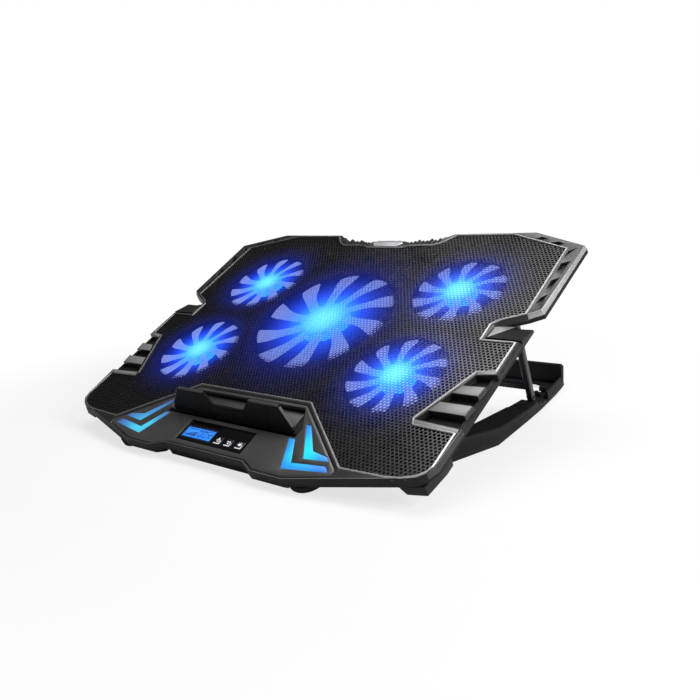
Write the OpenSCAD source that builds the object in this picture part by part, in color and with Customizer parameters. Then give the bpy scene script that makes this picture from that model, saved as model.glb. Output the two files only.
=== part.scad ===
// Laptop cooling pad: five-fan tilting deck on a folding stand.
// Row frame: +Z up, ground at z = 0, +X to the user's right, +Y away from the user,
// origin on the ground under the middle of the whole object. Millimetres.
// The deck parts are drawn in a deck frame (z = 0 is the deck's top face, origin on the
// centre fan's axis) and put in place by deck_place().

/* [Deck] */
// thickness of the perforated sheet
mesh_t = 1.0; // [0.6:0.1:1.2]
// thickness of the outer skirt wall of the top frame
skirt_t = 2.2; // [1.8:0.1:2.6]
// depth of the slanted side grip slots
grip_depth = 4.2; // [2:0.1:4.6]
// width of the badge plate across its points
badge_w = 34; // [24:1:34]

/* [Fans] */
// blade tip radius of the centre fan
fan_big_r = 61.3; // [50:0.1:61.3]
// blade tip radius of the four corner fans
fan_small_r = 37.9; // [30:0.1:37.9]
// hub radius of the centre fan
hub_big_r = 21.4; // [19:0.1:22]
// hub radius of the corner fans
hub_small_r = 13.2; // [11.5:0.1:14]
// number of blades on each rotor
blade_n = 10; // [7:1:11]
// sweep of a blade from root to tip, degrees
blade_sweep = 11.5; // [8:0.5:14]

/* [Control panel] */
// width of the black display window
window_w = 69; // [66:0.5:72]
// width of one push key
key_w = 6.6; // [5:0.1:6.8]
// height of the laptop stop above its hinge
stop_h = 18; // [14:0.5:20]
// backward lean of the raised laptop stop, degrees
stop_lean = 17; // [0:1:25]

/* [Stand] */
// height of the front part of the stand's side rails
rail_h = 15.6; // [12:0.1:15.6]
// height of the stand's rear wall
rear_wall_h = 21; // [16:0.5:21]
// thickness of the prop frame
prop_t = 5; // [4:0.5:5]
// thickness of the rubber strips under the stand
strip_t = 1.5; // [1:0.1:2]

/* [Hidden] */
$fn = 48;
round_fn = 96;       // facets of the large rings and openings
eps = 0.05;          // overlap of joined solids
over = 1;            // run of a cutter past the face it opens
running_gap = 0.06;  // radial play of a part that turns on a pin

// Levels in the deck frame
skin_z = -1.0;       // underside of the frame lip that holds the mesh
panel_z = -3.6;      // underside of the control panel
slab_z = -5.0;       // underside of the frame slab
flange_z = -5.8;     // top of the bottom shell's flange
skirt_z = -7.0;      // underside of the skirt
board_z = -7.6;      // top of the USB board
usb_floor_z = -8.8;  // floor of the USB pocket
floor_z = -11.0;     // top of the belly floor
belly_z = -12.5;     // underside of the belly

// Pose of the deck: it rests on the front edge of its front pads
tilt = 27;
pad_front_y = -161;
pad_z = -11;         // underside of the front pads
pad_r = 15;
deck_h = -pad_front_y * sin(tilt) - pad_z * cos(tilt);   // deck origin above the ground
deck_front = 162.7;  // deck origin to the deck's front edge
stand_back = 151.6;  // deck origin to the stand's rear face
// puts the row origin under the middle of the whole object
y_shift = -(stand_back - deck_front * cos(tilt)) / 2;

// Pivots. Plain y and z are in the deck frame; row_y and row_z are level with the ground,
// before y_shift.
hinge_row_z = 8;
hinge_z = -20.5;
hinge_y = (hinge_row_z - deck_h - hinge_z * cos(tilt)) / sin(tilt);
hinge_row_y = hinge_y * cos(tilt) - hinge_z * sin(tilt);
hinge_pin_r = 2;
knuckle_r = 5;
prop_y = 36.5;
prop_z = -10;
prop_row_y = prop_y * cos(tilt) - prop_z * sin(tilt);
prop_row_z = deck_h + prop_y * sin(tilt) + prop_z * cos(tilt);
prop_pin_r = 1.5;
prop_len = 84;
foot_row_z = 13.5;   // centre of the prop's foot above the ground
foot_dip = asin((prop_row_z - foot_row_z) / prop_len);
stop_y = -122.5;
stop_z = -2.7;
stop_pin_r = 1;
stop_pin_x = 69.6;   // half the length of the stop's pin

// Fans: x, y, blade tip radius, hub radius
fans = [
  [0, 0, fan_big_r, hub_big_r],
  [-104.2, 46, fan_small_r, hub_small_r],
  [104.2, 46, fan_small_r, hub_small_r],
  [-104.4, -53, fan_small_r, hub_small_r],
  [104.4, -53, fan_small_r, hub_small_r]];
fan_rim = 3;         // rim of a fan base beyond the blade tips
axle_r = 1;

// Keys and display
key_x = [6.8, 17.3, 28.6];
key_y = -143.9;
key_d = 7.2;
key_gap = 0.2;
window_y = [-150.2, -130.4];
window_z = -1.6;     // underside of the display window
screen_x = [-32.4, -1];
screen_y = [-146.7, -136];

// USB sockets and deck screws
usb_y = [-20, -36];  // rear socket, front socket
screw_r = 1.4;
screws = [[170, -62.2], [180, 90.5], [133, 119.2], [128, -146.4]];   // x, y on the right

// ---- helpers ---------------------------------------------------------------------
// closes the right half of an outline with its mirror image
function mirrored(half) = concat(half,
  [for (i = [len(half) - 1:-1:0]) if (abs(half[i].x) > 0.01) [-half[i].x, half[i].y]]);
function unit(v) = v / norm(v);
function left_normal(from, to) = let (along = unit(to - from)) [-along.y, along.x];
// moves every corner of a counterclockwise outline inward by dist
function inset(points, dist) = let (n = len(points)) [for (i = [0:n - 1])
  let (before = points[(i + n - 1) % n],
       corner = points[i],
       after = points[(i + 1) % n],
       normal_in = left_normal(before, corner),
       normal_out = left_normal(corner, after))
  corner + dist * (normal_in + normal_out) / max(0.35, 1 + normal_in * normal_out)];
function polar(r, a) = [r * cos(a), r * sin(a)];

module deck_place() { translate([0, y_shift, deck_h]) rotate([tilt, 0, 0]) children(); }
module both_sides() {
  children();
  mirror([1, 0, 0]) children();
}
module slab(points, z0, z1) {
  translate([0, 0, z0]) linear_extrude(height = z1 - z0) polygon(points);
}
// box between [low, high] limits on each axis
module box(x, y, z) {
  translate([x[0], y[0], z[0]]) cube([x[1] - x[0], y[1] - y[0], z[1] - z[0]]);
}
// box centred on at in x and y
module block(at, size, z0, z1) {
  translate([at.x - size.x / 2, at.y - size.y / 2, z0]) cube([size.x, size.y, z1 - z0]);
}
module rod_x(x0, x1, y, z, r) {
  translate([x0, y, z]) rotate([0, 90, 0]) cylinder(h = x1 - x0, r = r);
}
module ring(height, outer, inner) {
  difference() {
    cylinder(h = height, r = outer, $fn = round_fn);
    translate([0, 0, -over]) cylinder(h = 4, r = inner, $fn = round_fn);
  }
}

// ---- deck outlines: x, y in the deck frame ---------------------------------------
outline = mirrored([[0, -157], [41.1, -157], [53.3, -deck_front], [81.7, -deck_front],
  [165.5, -140.4], [171.5, -137.9], [176.3, -133.4], [179.2, -126.5], [181.6, -9.2],
  [155, -9.2], [155.6, 4.4], [159.6, 8.6], [175, 16.6], [184.1, 23.1], [185, 104.5],
  [137.4, 123.9], [62.8, 122.6], [57.2, 118.4], [54.8, 118.6], [51.6, 114.2], [47.6, 112.4],
  [45.6, 114.6], [42.6, 114.6], [40.2, 111.8], [35, 111.6], [33.2, 113.2], [30.6, 113.2],
  [28.2, 109.8], [21.6, 109.2], [18, 111.9], [0, 111.9]]);
mesh_opening = mirrored([[0, -93.8], [58.2, -93.8], [117.2, -142.1], [151.4, -140.9],
  [161.5, -139], [169.6, -135.4], [174.2, -130.8], [175.6, -126.1], [176, -99.9],
  [145.5, -98.5], [142.2, -92.8], [164, -43.5], [177, -41.2], [177.4, -13], [151, -13],
  [150.6, 5.6], [156.4, 11.4], [171.6, 19.4], [170.3, 99.8], [118.5, 120.2], [66, 119.6],
  [57, 108.6], [50, 104.6], [24, 103.6], [19, 100.6], [0, 100.6]]);
panel = mirrored([[0, -154.4], [41.8, -154.4], [54, -159.8], [81.4, -159.8],
  [115.2, -150.6], [115.2, -144.8], [56.8, -97], [0, -97]]);
belly = mirrored([[0, -156.2], [40.6, -156.2], [54, -150], [108, -140], [126, -100],
  [141, -74], [146, -60], [146, -44], [139.5, -26], [137, -8], [137, 14], [141, 26],
  [146, 36], [146, 56], [138, 76], [116, 98], [0, 98]]);
// slanted slots in the side strips
grips = [
  [[162.2, -57.6], [184, -56.4], [184, -48.2], [166, -48.2]],
  [[153.8, -74.7], [184, -74.1], [184, -66.6], [157.6, -66.8]],
  [[145.9, -92.6], [184, -92.2], [184, -84.6], [149.8, -84.6]]];
// through slots around the rear corners
wing_slots = [
  [[140.4, 114.6], [145.0, 112.4], [150.8, 113.6], [144.6, 116.6]],
  [[155.2, 108.4], [161.2, 104.4], [167.2, 106.2], [161.6, 109.6]],
  [[173.6, 96.4], [173.6, 88], [176.2, 95.4], [179.4, 101]],
  [[174.2, 80.6], [174.6, 70], [178.4, 75], [180.6, 83.6]],
  [[175.2, 59], [175.4, 48], [178.4, 53.6], [180.2, 63]],
  [[175.4, 37.6], [174.6, 30.6], [177.8, 34.2], [179.6, 42.6]]];
notch_facet = [[154, -9.3], [181.6, -9.3], [182.2, 8.1], [170.3, 6], [163.9, 0.8],
  [158.8, -3.7], [154, -8.4]];
notch_web = [[154, -9.2], [164, 0], [171, 6], [172, 9], [165, 11.4], [159.6, 8.6],
  [155.6, 4.4], [154, 0]];
front_boss = [[48, -154], [48, -157], [54.8, -160.2], [80, -160.2], [83, -159.7],
  [79.1, -157.1], [75.5, -151.8], [75, -150], [62, -150]];
// inner and outer light lens of the right side
lenses = [
  [[68.3, -114], [86.3, -142], [106.6, -140], [102.8, -136.8], [89.1, -134.6], [72.8, -114.5]],
  [[62.6, -126.2], [75.1, -153.5], [111.2, -148.3], [106.5, -143.9], [79.6, -147.3],
   [67.2, -126.2]]];

// ---- shared cutters --------------------------------------------------------------
module at_screws(z) { for (at = screws) translate([at.x, at.y, z]) children(); }
module usb_openings() {
  for (y = usb_y) box([-184, -170], [y - 6.6, y + 6.6], [board_z, -2.2]);
}
module display_openings() {
  box(screen_x, screen_y, [-6, over]);
  for (x = key_x) block([x, key_y], [key_w + 2 * key_gap, key_d + 2 * key_gap], -6, over);
}

// ---- deck shell ------------------------------------------------------------------
module top_frame() color([0.12, 0.12, 0.13]) deck_place() {
  difference() {
    union() {
      slab(outline, slab_z, 0);
      difference() {
        slab(outline, skirt_z, slab_z + eps);
        slab(inset(outline, skirt_t), skirt_z - over, slab_z + over);
      }
    }
    // stepped openings: mesh under a lip, control panel on a ledge
    slab(mesh_opening, skin_z - eps, over);
    slab(inset(mesh_opening, -1.5), slab_z - over, skin_z);
    slab(panel, panel_z, over);
    slab(inset(panel, 1.5), slab_z - over, -3.5);
    both_sides() {
      for (grip = grips) slab(grip, -grip_depth, over);
      for (slot = wing_slots) slab(slot, slab_z - over, over);
      at_screws(slab_z - over) cylinder(h = 2.8, r = screw_r);
    }
    usb_openings();
  }
  both_sides() {
    // facet that slopes down behind the side strip into the notch
    intersection() {
      slab(notch_facet, skirt_z, 0);
      translate([150, -9.3, 0]) rotate([90, 0, 90]) linear_extrude(height = 36)
        polygon([[0, 0], [20, -6.1], [20, -7], [0, -7]]);
    }
    // web in the bottom of the notch
    slab(notch_web, skirt_z, -4.8);
  }
}

module mesh_panel() color([0.05, 0.05, 0.06]) deck_place()
  slab(inset(mesh_opening, -1.4), skin_z - mesh_t, skin_z);

module bottom_shell() color([0.06, 0.06, 0.065]) deck_place() {
  difference() {
    union() {
      slab(inset(outline, skirt_t), skirt_z, flange_z);
      slab(belly, belly_z, skirt_z);
      // housing of the USB board
      box([-178.4, -163], [-47, -11.8], [-9.4, flange_z]);
      both_sides() {
        // boss under the front rim beside each front pad
        slab(front_boss, -10.4, skirt_z);
        // lugs that carry the stand's hinge pin
        for (x = [113.5, 126.4]) {
          rod_x(x, x + 4.1, hinge_y, hinge_z, knuckle_r);
          box([x, x + 4.1], [hinge_y - knuckle_r, hinge_y + knuckle_r],
            [hinge_z, skirt_z + eps]);
        }
        // lugs that carry the prop's pivot pin
        for (x = [[145.9, 148.6], [154.4, 157.6]])
          box(x, [prop_y - 2.5, prop_y + 2.5], [belly_z, skirt_z + eps]);
      }
    }
    slab(inset(belly, 1.8), floor_z, flange_z + over);
    box([-177.2, -164.6], [-45.4, -13], [usb_floor_z, flange_z + over]);
    usb_openings();
    for (fan = fans) translate([fan.x, fan.y, belly_z - over])
      cylinder(h = 4, r = fan[2] + fan_rim, $fn = round_fn);
    both_sides() {
      rod_x(113, 131, hinge_y, hinge_z, hinge_pin_r);
      rod_x(146.5, 158, prop_y, prop_z, prop_pin_r);
      for (slot = wing_slots) slab(slot, skirt_z - over, flange_z + over);
      at_screws(skirt_z - over) cylinder(h = 3, r = screw_r);
    }
  }
}

// six-sided plate, pointed at its left and right ends
module badge_plate() color([0.8, 0.81, 0.83]) deck_place() {
  tip = badge_w / 2;
  flat = tip - 4.5;
  slab([[-tip, 106.8], [-flat, 102.6], [flat, 102.6], [tip, 106.8], [flat, 111], [-flat, 111]],
    0, 0.8);
}

// ---- control panel ---------------------------------------------------------------
module control_panel() color([0.13, 0.13, 0.14]) deck_place() {
  difference() {
    union() {
      slab(panel, panel_z, -0.8);
      // tray for the folded laptop stop
      slab([[-70, -128], [70, -128], [70, -112], [56.8, -99], [-56.8, -99], [-70, -112]],
        -5.6, -3.5);
    }
    slab([[-67.6, -127], [67.6, -127], [67.6, -118], [57, -100.6], [-57, -100.6],
      [-67.6, -118]], -4.6, over);
    box([-window_w / 2, window_w / 2], window_y, [window_z, over]);
    display_openings();
    both_sides() for (lens = lenses) slab(lens, -6, over);
    rod_x(-stop_pin_x, stop_pin_x, stop_y, stop_z, stop_pin_r);
  }
}

module lcd_window() color([0.01, 0.01, 0.012]) deck_place() {
  difference() {
    box([-window_w / 2, window_w / 2], window_y, [window_z, -0.6]);
    display_openings();
  }
}

module lcd_screen() color([0.15, 0.45, 0.95]) deck_place()
  box(screen_x, screen_y, [flange_z, -0.9]);

// key cap with a short stem under it
module key(x) color([0.02, 0.02, 0.025]) deck_place() {
  block([x, key_y], [key_w, key_d], -3.4, 0);
  block([x, key_y], [2.4, 2.4], -3.9, -3.4);
}
module key_left() key(key_x[0]);
module key_middle() key(key_x[1]);
module key_right() key(key_x[2]);

module lens_pair() { for (lens = lenses) slab(lens, -3.4, -0.5); }
module lens_left() color([0.2, 0.8, 1]) deck_place() mirror([1, 0, 0]) lens_pair();
module lens_right() color([0.2, 0.8, 1]) deck_place() lens_pair();

// flap with two raised lobes, hinged along its lower edge
module laptop_stop() color([0.04, 0.04, 0.045]) deck_place()
  translate([0, stop_y, stop_z]) rotate([90 - stop_lean, 0, 0])
    difference() {
      union() {
        translate([0, 0, -1.3]) linear_extrude(height = 2.6)
          polygon(mirrored([[61.2, 0], [64.2, 3.6], [53, stop_h], [24, stop_h],
            [16.4, stop_h - 8.4]]));
        rod_x(-61.2, 61.2, 0, 0, 1.7);
      }
      rod_x(-70, 70, 0, 0, stop_pin_r + running_gap);
    }
module stop_pin() color([0.7, 0.7, 0.72]) deck_place()
  rod_x(-stop_pin_x, stop_pin_x, stop_y, stop_z, stop_pin_r);

// ---- fans ------------------------------------------------------------------------
// half the angle a blade spans, t running from 0 at the hub to 1 at the tip
function half_angle(t) = 8.7 + 3.2 * pow(1 - t, 3) - 1.6 * sin(180 * min(1, t / 0.75));
function mid_angle(t) = 4.5 - blade_sweep * t;
// blade outline: out along one edge, back along the other, whose tip is drawn in slightly
function blade(tip_r, hub_r) =
  let (root_r = hub_r - 0.6, span = tip_r - root_r)
  concat(
    [for (i = [0:8]) let (t = i / 8)
      polar(root_r + span * t, mid_angle(t) - half_angle(t))],
    [for (i = [8:-1:0]) let (t = i / 8)
      polar(root_r + span * t * (1 - 0.02 * pow(t, 6)), mid_angle(t) + half_angle(t))]);

module fan_rotor(fan) color([0.75, 0.78, 0.95]) deck_place() {
  tip_r = fan[2];
  hub_r = fan[3];
  translate([fan.x, fan.y, 0]) difference() {
    union() {
      translate([0, 0, -10.4]) cylinder(h = 7.6, r = hub_r);
      translate([0, 0, -6.4]) linear_extrude(height = 3.6)
        for (i = [0:blade_n - 1]) rotate(i * 360 / blade_n) polygon(blade(tip_r, hub_r));
    }
    // hollow under the hub, and the axle's bore
    translate([0, 0, -11]) cylinder(h = 5.4, r = hub_r - 1.6);
    translate([0, 0, -11]) cylinder(h = 6.4, r = axle_r + running_gap);
  }
}
module fan_rotor_c() fan_rotor(fans[0]);
module fan_rotor_rl() fan_rotor(fans[1]);
module fan_rotor_rr() fan_rotor(fans[2]);
module fan_rotor_fl() fan_rotor(fans[3]);
module fan_rotor_fr() fan_rotor(fans[4]);

module fan_base(fan) color([0.05, 0.05, 0.055]) deck_place() {
  tip_r = fan[2];
  hub_r = fan[3];
  span = tip_r - hub_r;
  translate([fan.x, fan.y, belly_z]) {
    ring(floor_z - belly_z, tip_r + fan_rim, tip_r + 0.6);
    // grille: centre disc, four spokes, two rings
    cylinder(h = 1.5, r = hub_r + 1);
    for (i = [0:3]) rotate(45 + 90 * i) translate([hub_r - 1, -1.6, 0])
      cube([span + 2.4, 3.2, 1.3]);
    for (part = [0.45, 0.75])
      ring(1.2, hub_r + span * part + 1, hub_r + span * part - 1);
    // drum inside the rotor hub, and the axle
    translate([0, 0, 1.4]) cylinder(h = 5.1, r = hub_r - 2.6);
    translate([0, 0, 1.4]) cylinder(h = 6.3, r = axle_r);
  }
}
module fan_base_c() fan_base(fans[0]);
module fan_base_rl() fan_base(fans[1]);
module fan_base_rr() fan_base(fans[2]);
module fan_base_fl() fan_base(fans[3]);
module fan_base_fr() fan_base(fans[4]);

module fan_leds() color([0.3, 0.6, 1]) deck_place()
  for (fan = fans, a = [60, 120, 240, 300])
    translate([fan.x, fan.y, 0]) rotate(a) translate([fan[2] + 4, -1.5, floor_z])
      cube([2, 3, 1.6]);

// ---- electronics -----------------------------------------------------------------
// board with a small block under each key
module control_board() color([0.05, 0.25, 0.12]) deck_place() {
  box([-36, 36], [-152, -130], [-7.2, flange_z]);
  for (x = key_x) block([x, key_y], [4.8, 4.8], flange_z, -4.5);
}
module usb_board() color([0.05, 0.25, 0.12]) deck_place()
  box([-176.5, -165], [-44.6, -13.4], [usb_floor_z, board_z]);
// shell open to the left, with a tongue inside
module usb_socket(y) color([0.75, 0.76, 0.78]) deck_place() {
  difference() {
    box([-179.8, -170], [y - 6.5, y + 6.5], [board_z, -2.3]);
    box([-181, -171], [y - 6.1, y + 6.1], [-7.2, -2.7]);
  }
  box([-178.6, -171], [y - 5.4, y + 5.4], [-5.2, -3.4]);
}
module usb_socket_a() usb_socket(usb_y[0]);
module usb_socket_b() usb_socket(usb_y[1]);
module wire_harness() color([0.1, 0.1, 0.1]) deck_place()
  slab([[-34, -138], [-34, -141], [-99.6, -141], [-121, -119.6], [-151.6, -84],
    [-151.6, -31.2], [-163.6, -31.2], [-163.6, -28.2], [-148.6, -28.2], [-148.6, -83],
    [-118.6, -117.8], [-98.4, -138]], -5.75, -5.1);

// ---- fasteners, feet, pins -------------------------------------------------------
module deck_screws() color([0.3, 0.3, 0.32]) deck_place() both_sides() at_screws(skirt_z) {
  cylinder(h = 3.6, r = screw_r);
  // head with a cross slot
  difference() {
    translate([0, 0, -0.9]) cylinder(h = 0.9, r = 2.6);
    block([0, 0], [3.2, 0.7], -1.5, -0.5);
    block([0, 0], [0.7, 3.2], -1.5, -0.5);
  }
}
// round pads, cut away where they meet the belly
module front_pads() color([0.03, 0.03, 0.03]) deck_place() both_sides()
  difference() {
    translate([90, pad_front_y + pad_r, pad_z]) cylinder(h = skirt_z - pad_z, r = pad_r);
    slab(inset(belly, -0.1), -20, 0);
  }
module corner_block() difference() {
  slab([[158.5, -141.2], [165.5, -140], [174.6, -138], [178.4, -124], [178.8, -112],
    [171, -112], [158.5, -124]], -13.8, skirt_z);
  slab([[163, -134], [170, -131], [172, -120], [163, -126]], -14, -12.6);
}
module corner_block_left() color([0.05, 0.05, 0.05]) deck_place() mirror([1, 0, 0]) corner_block();
module corner_block_right() color([0.05, 0.05, 0.05]) deck_place() corner_block();

module base_pins() color([0.7, 0.7, 0.72]) deck_place() both_sides()
  rod_x(113.5, 130.5, hinge_y, hinge_z, hinge_pin_r);
module prop_pins() color([0.7, 0.7, 0.72]) deck_place() both_sides()
  rod_x(146.5, 157.6, prop_y, prop_z, prop_pin_r);

// ---- stand: right-half outlines, x, y level with the ground ----------------------
stand_floor = [[150, -50], [162, -4], [158.4, 50], [154.4, 84], [154.4, 120], [149.4, 142],
  [145.6, stand_back], [0, stand_back], [0, 143.6], [118, 143.6], [128, 138], [134, 126],
  [138.6, 50], [140.6, -4], [131.6, -50], [120.4, -88], [0, -88], [0, -94.5],
  [131.5, -94.5], [131.5, -105], [134.6, -105]];
front_rail = [[131.5, -105], [134.6, -105], [150, -50], [162, -4], [158.4, 50], [138.6, 50],
  [140.6, -4], [131.6, -50], [119, -92], [119, -94.5], [131.5, -94.5]];
rear_side_wall = [[155.2, 71.9], [154.4, 84], [154.4, 120], [149.6, 141], [147.6, 141],
  [152.2, 120], [152.2, 71.9]];
strip = [[134, -94], [148.6, -49], [160.4, -4], [156.6, 52], [153, 84], [153, 119],
  [148, 141], [142, 139.6], [147, 117], [147, 84], [150.4, 50], [154, -4], [142.6, -47],
  [129.6, -94]];
rail_z = 4.1;        // underside of what stands on the floor rail, sunk slightly into it
knuckle_x = [118, 126];

module stand_half() {
  // low floor rail with open centre
  slab(stand_floor, strip_t, 4.2);
  // front rail, its top falling towards the back
  difference() {
    slab(front_rail, rail_z, rail_h);
    translate([100, -40, rail_h]) rotate([-3.2, 0, 0]) cube([80, 100, 10]);
  }
  // rest for the prop's foot, with steps going down behind it
  slab([[158.4, 49.9], [156, 62], [155.2, 72], [140, 72], [140, 49.9]], rail_z, 10.6);
  slab([[155.3, 71.9], [154.7, 82], [141, 82], [141, 71.9]], rail_z, 8.3);
  slab([[154.8, 81.9], [154.4, 92], [141, 92], [141, 81.9]], rail_z, 6.4);
  slab(rear_side_wall, rail_z, 8.4);
  // rear wall
  slab([[147.4, 147], [145.6, stand_back], [0, stand_back], [0, 147]], rail_z, rear_wall_h);
  // hinge knuckle
  rod_x(knuckle_x[0], knuckle_x[1], hinge_row_y, hinge_row_z, knuckle_r);
  box(knuckle_x, [hinge_row_y, -92], [hinge_row_z - knuckle_r, hinge_row_z + knuckle_r]);
}
module stand_base() color([0.09, 0.09, 0.1]) translate([0, y_shift, 0]) difference() {
  both_sides() stand_half();
  both_sides() rod_x(knuckle_x[0] - over, knuckle_x[1] + over, hinge_row_y, hinge_row_z,
    hinge_pin_r + running_gap);
}
module stand_strips() color([0.03, 0.03, 0.03]) translate([0, y_shift, 0]) both_sides()
  slab(strip, 0, strip_t);

// Prop, drawn flat with its pivot on the x axis
module prop_half() {
  // tapered side arm, from the pivot to the foot
  linear_extrude(height = prop_t) polygon([[149, 0], [154, 0], [154, 8], [151.6, prop_len],
    [146.6, prop_len], [148.8, 8]]);
  // foot rib between the arms
  translate([0, 69, 0.8]) cube([147.2, 6.4, prop_t - 1.6]);
  // thin web on the inner side of the arm
  translate([0, 14, 0.8]) linear_extrude(height = prop_t - 1.6)
    polygon([[147.4, 8], [149, 8], [149, 30], [145.4, 46], [143.4, 46]]);
  // rounded ends
  rod_x(146.6, 151.6, prop_len, prop_t / 2, prop_t / 2);
  rod_x(149, 154, 0, prop_t / 2, prop_t / 2);
}
module prop_frame() color([0.05, 0.05, 0.055])
  translate([0, y_shift + prop_row_y, prop_row_z]) rotate([-foot_dip, 0, 0]) difference() {
    translate([0, 0, -prop_t / 2]) both_sides() prop_half();
    both_sides() rod_x(145, 160, 0, 0, prop_pin_r + running_gap);
  }

top_frame();
mesh_panel();
control_panel();
bottom_shell();
badge_plate();
lcd_window();
lcd_screen();
key_left();
key_middle();
key_right();
lens_left();
lens_right();
laptop_stop();
stop_pin();
fan_rotor_c();
fan_rotor_rl();
fan_rotor_rr();
fan_rotor_fl();
fan_rotor_fr();
fan_base_c();
fan_base_rl();
fan_base_rr();
fan_base_fl();
fan_base_fr();
fan_leds();
control_board();
usb_board();
usb_socket_a();
usb_socket_b();
wire_harness();
deck_screws();
front_pads();
corner_block_left();
corner_block_right();
prop_pins();
base_pins();
stand_base();
stand_strips();
prop_frame();
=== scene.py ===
# A laptop cooler: a deck with five lit fans under a perforated sheet, tilted on a flat stand.
# World: metres, z up, floor at z = 0, front towards -y, centred on x = 0.
# Lengths below are in mm. Deck pieces are drawn in the deck's own frame: x to the right,
# y up the slope towards the rear, z along the deck's normal with 0 at its top face.
import bpy
import bmesh
import math
import random
from mathutils import Matrix, Vector
from mathutils.geometry import delaunay_2d_cdt


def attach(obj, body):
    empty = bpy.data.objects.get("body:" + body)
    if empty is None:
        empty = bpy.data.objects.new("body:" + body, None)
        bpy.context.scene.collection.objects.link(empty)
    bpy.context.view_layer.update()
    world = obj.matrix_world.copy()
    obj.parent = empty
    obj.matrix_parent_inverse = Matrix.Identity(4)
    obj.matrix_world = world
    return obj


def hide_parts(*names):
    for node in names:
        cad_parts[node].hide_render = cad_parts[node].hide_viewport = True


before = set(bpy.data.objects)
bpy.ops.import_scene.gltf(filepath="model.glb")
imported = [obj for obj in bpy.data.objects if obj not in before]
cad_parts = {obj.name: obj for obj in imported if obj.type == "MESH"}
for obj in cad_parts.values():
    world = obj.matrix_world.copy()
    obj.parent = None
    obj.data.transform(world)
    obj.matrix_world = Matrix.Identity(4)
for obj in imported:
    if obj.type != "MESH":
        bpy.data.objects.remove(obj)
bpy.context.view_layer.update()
scene = bpy.context.scene
random.seed(7)

# ------------------------------------------------------------------ frames and main sizes
MM = 0.001
TILT = math.radians(27)
SIN, COS = math.sin(TILT), math.cos(TILT)
UP_SLOPE = (0, COS, SIN)
NORMAL = (0, -SIN, COS)
DECK_FRONT = 162.7
STAND_REAR = 151.6
# the deck's line y = -161, z = -11 lies at floor height
DECK_HEIGHT = 161 * SIN + 11 * COS
# centres the span from the deck's front to the stand's rear
Y_SHIFT = -(STAND_REAR - DECK_FRONT * COS) / 2

# fan: centre x, centre y, blade radius, hub radius
FANS = {
    "c": (0.0, 0.0, 61.3, 21.4),
    "rl": (-104.2, 46.0, 37.9, 13.2), "rr": (104.2, 46.0, 37.9, 13.2),
    "fl": (-104.4, -53.0, 37.9, 13.2), "fr": (104.4, -53.0, 37.9, 13.2)}
SIDES = ((1, "right"), (-1, "left"))


def deck_vector(x, y, z):
    return x, y * COS - z * SIN, y * SIN + z * COS


def on_deck(x, y, z):
    """Deck frame (mm) to world (m)."""
    return (x * MM, (Y_SHIFT + y * COS - z * SIN) * MM, (DECK_HEIGHT + y * SIN + z * COS) * MM)


def on_floor(x, y, z):
    """Level frame of the stand (mm) to world (m)."""
    return (x * MM, (Y_SHIFT + y) * MM, z * MM)


# ------------------------------------------------------------------ flat outlines
def mirror(outline):
    return [(-x, y) for x, y in reversed(outline)]


def on_side(outline, side):
    return list(outline) if side > 0 else mirror(outline)


def pair(outline):
    return [outline, mirror(outline)]


def symmetric(half):
    """Whole outline from its right half; points on the centre line aren't doubled."""
    return half + [(-x, y) for x, y in reversed(half) if abs(x) > 0.01]


def ccw(outline):
    area = sum(outline[i - 1][0] * outline[i][1] - outline[i][0] * outline[i - 1][1]
               for i in range(len(outline)))
    return list(outline) if area > 0 else list(reversed(outline))


def inset(outline, distance, weights=None):
    """Moves a counter-clockwise outline inwards; weights scale the distance at each corner."""
    def normal(start, end):
        dx, dy = end[0] - start[0], end[1] - start[1]
        length = math.hypot(dx, dy) or 1e-9
        return -dy / length, dx / length

    moved = []
    for i, (x, y) in enumerate(outline):
        before = normal(outline[i - 1], (x, y))
        after = normal((x, y), outline[(i + 1) % len(outline)])
        # the limit keeps sharp corners from running away
        share = max(0.35, 1 + before[0] * after[0] + before[1] * after[1])
        step = distance * (weights[i] if weights else 1.0)
        moved.append((x + step * (before[0] + after[0]) / share,
                      y + step * (before[1] + after[1]) / share))
    return moved


def rounded(outline, radius, steps=3):
    """Replaces each corner by a quadratic curve."""
    points = []
    for i, corner in enumerate(outline):
        before, after = outline[i - 1], outline[(i + 1) % len(outline)]
        len_in, len_out = math.dist(before, corner), math.dist(corner, after)
        cut = min(radius, len_in * 0.4, len_out * 0.4)
        start = [c + (b - c) * cut / len_in for c, b in zip(corner, before)]
        end = [c + (a - c) * cut / len_out for c, a in zip(corner, after)]
        for k in range(steps + 1):
            t = k / steps
            points.append(tuple((1 - t) ** 2 * s + 2 * t * (1 - t) * c + t * t * e
                                for s, c, e in zip(start, corner, end)))
    return points


def inside(outline, x, y):
    hit = False
    for i, (x1, y1) in enumerate(outline):
        x0, y0 = outline[i - 1]
        if (y0 > y) != (y1 > y) and x < (x1 - x0) * (y - y0) / (y1 - y0) + x0:
            hit = not hit
    return hit


def circle(cx, cy, radius, segments):
    angles = [2 * math.pi * k / segments for k in range(segments)]
    return [(cx + radius * math.cos(a), cy + radius * math.sin(a)) for a in angles]


def rect(x0, x1, y0, y1):
    return [(x0, y0), (x1, y0), (x1, y1), (x0, y1)]


def spoke(cx, cy, degrees, start, end, half):
    """A radial bar from radius start to end, 2 * half wide."""
    ca, sa = math.cos(math.radians(degrees)), math.sin(math.radians(degrees))
    return [(cx + ca * r - sa * w, cy + sa * r + ca * w)
            for r, w in ((start, -half), (end, -half), (end, half), (start, half))]


def rounded_edge(radius, steps=2):
    """Quarter round as (inward distance, height) from the flat face outwards."""
    angles = [math.pi / 2 * k / steps for k in range(steps + 1)]
    return [(radius * (1 - math.sin(a)), -radius * (1 - math.cos(a))) for a in angles]


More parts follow.
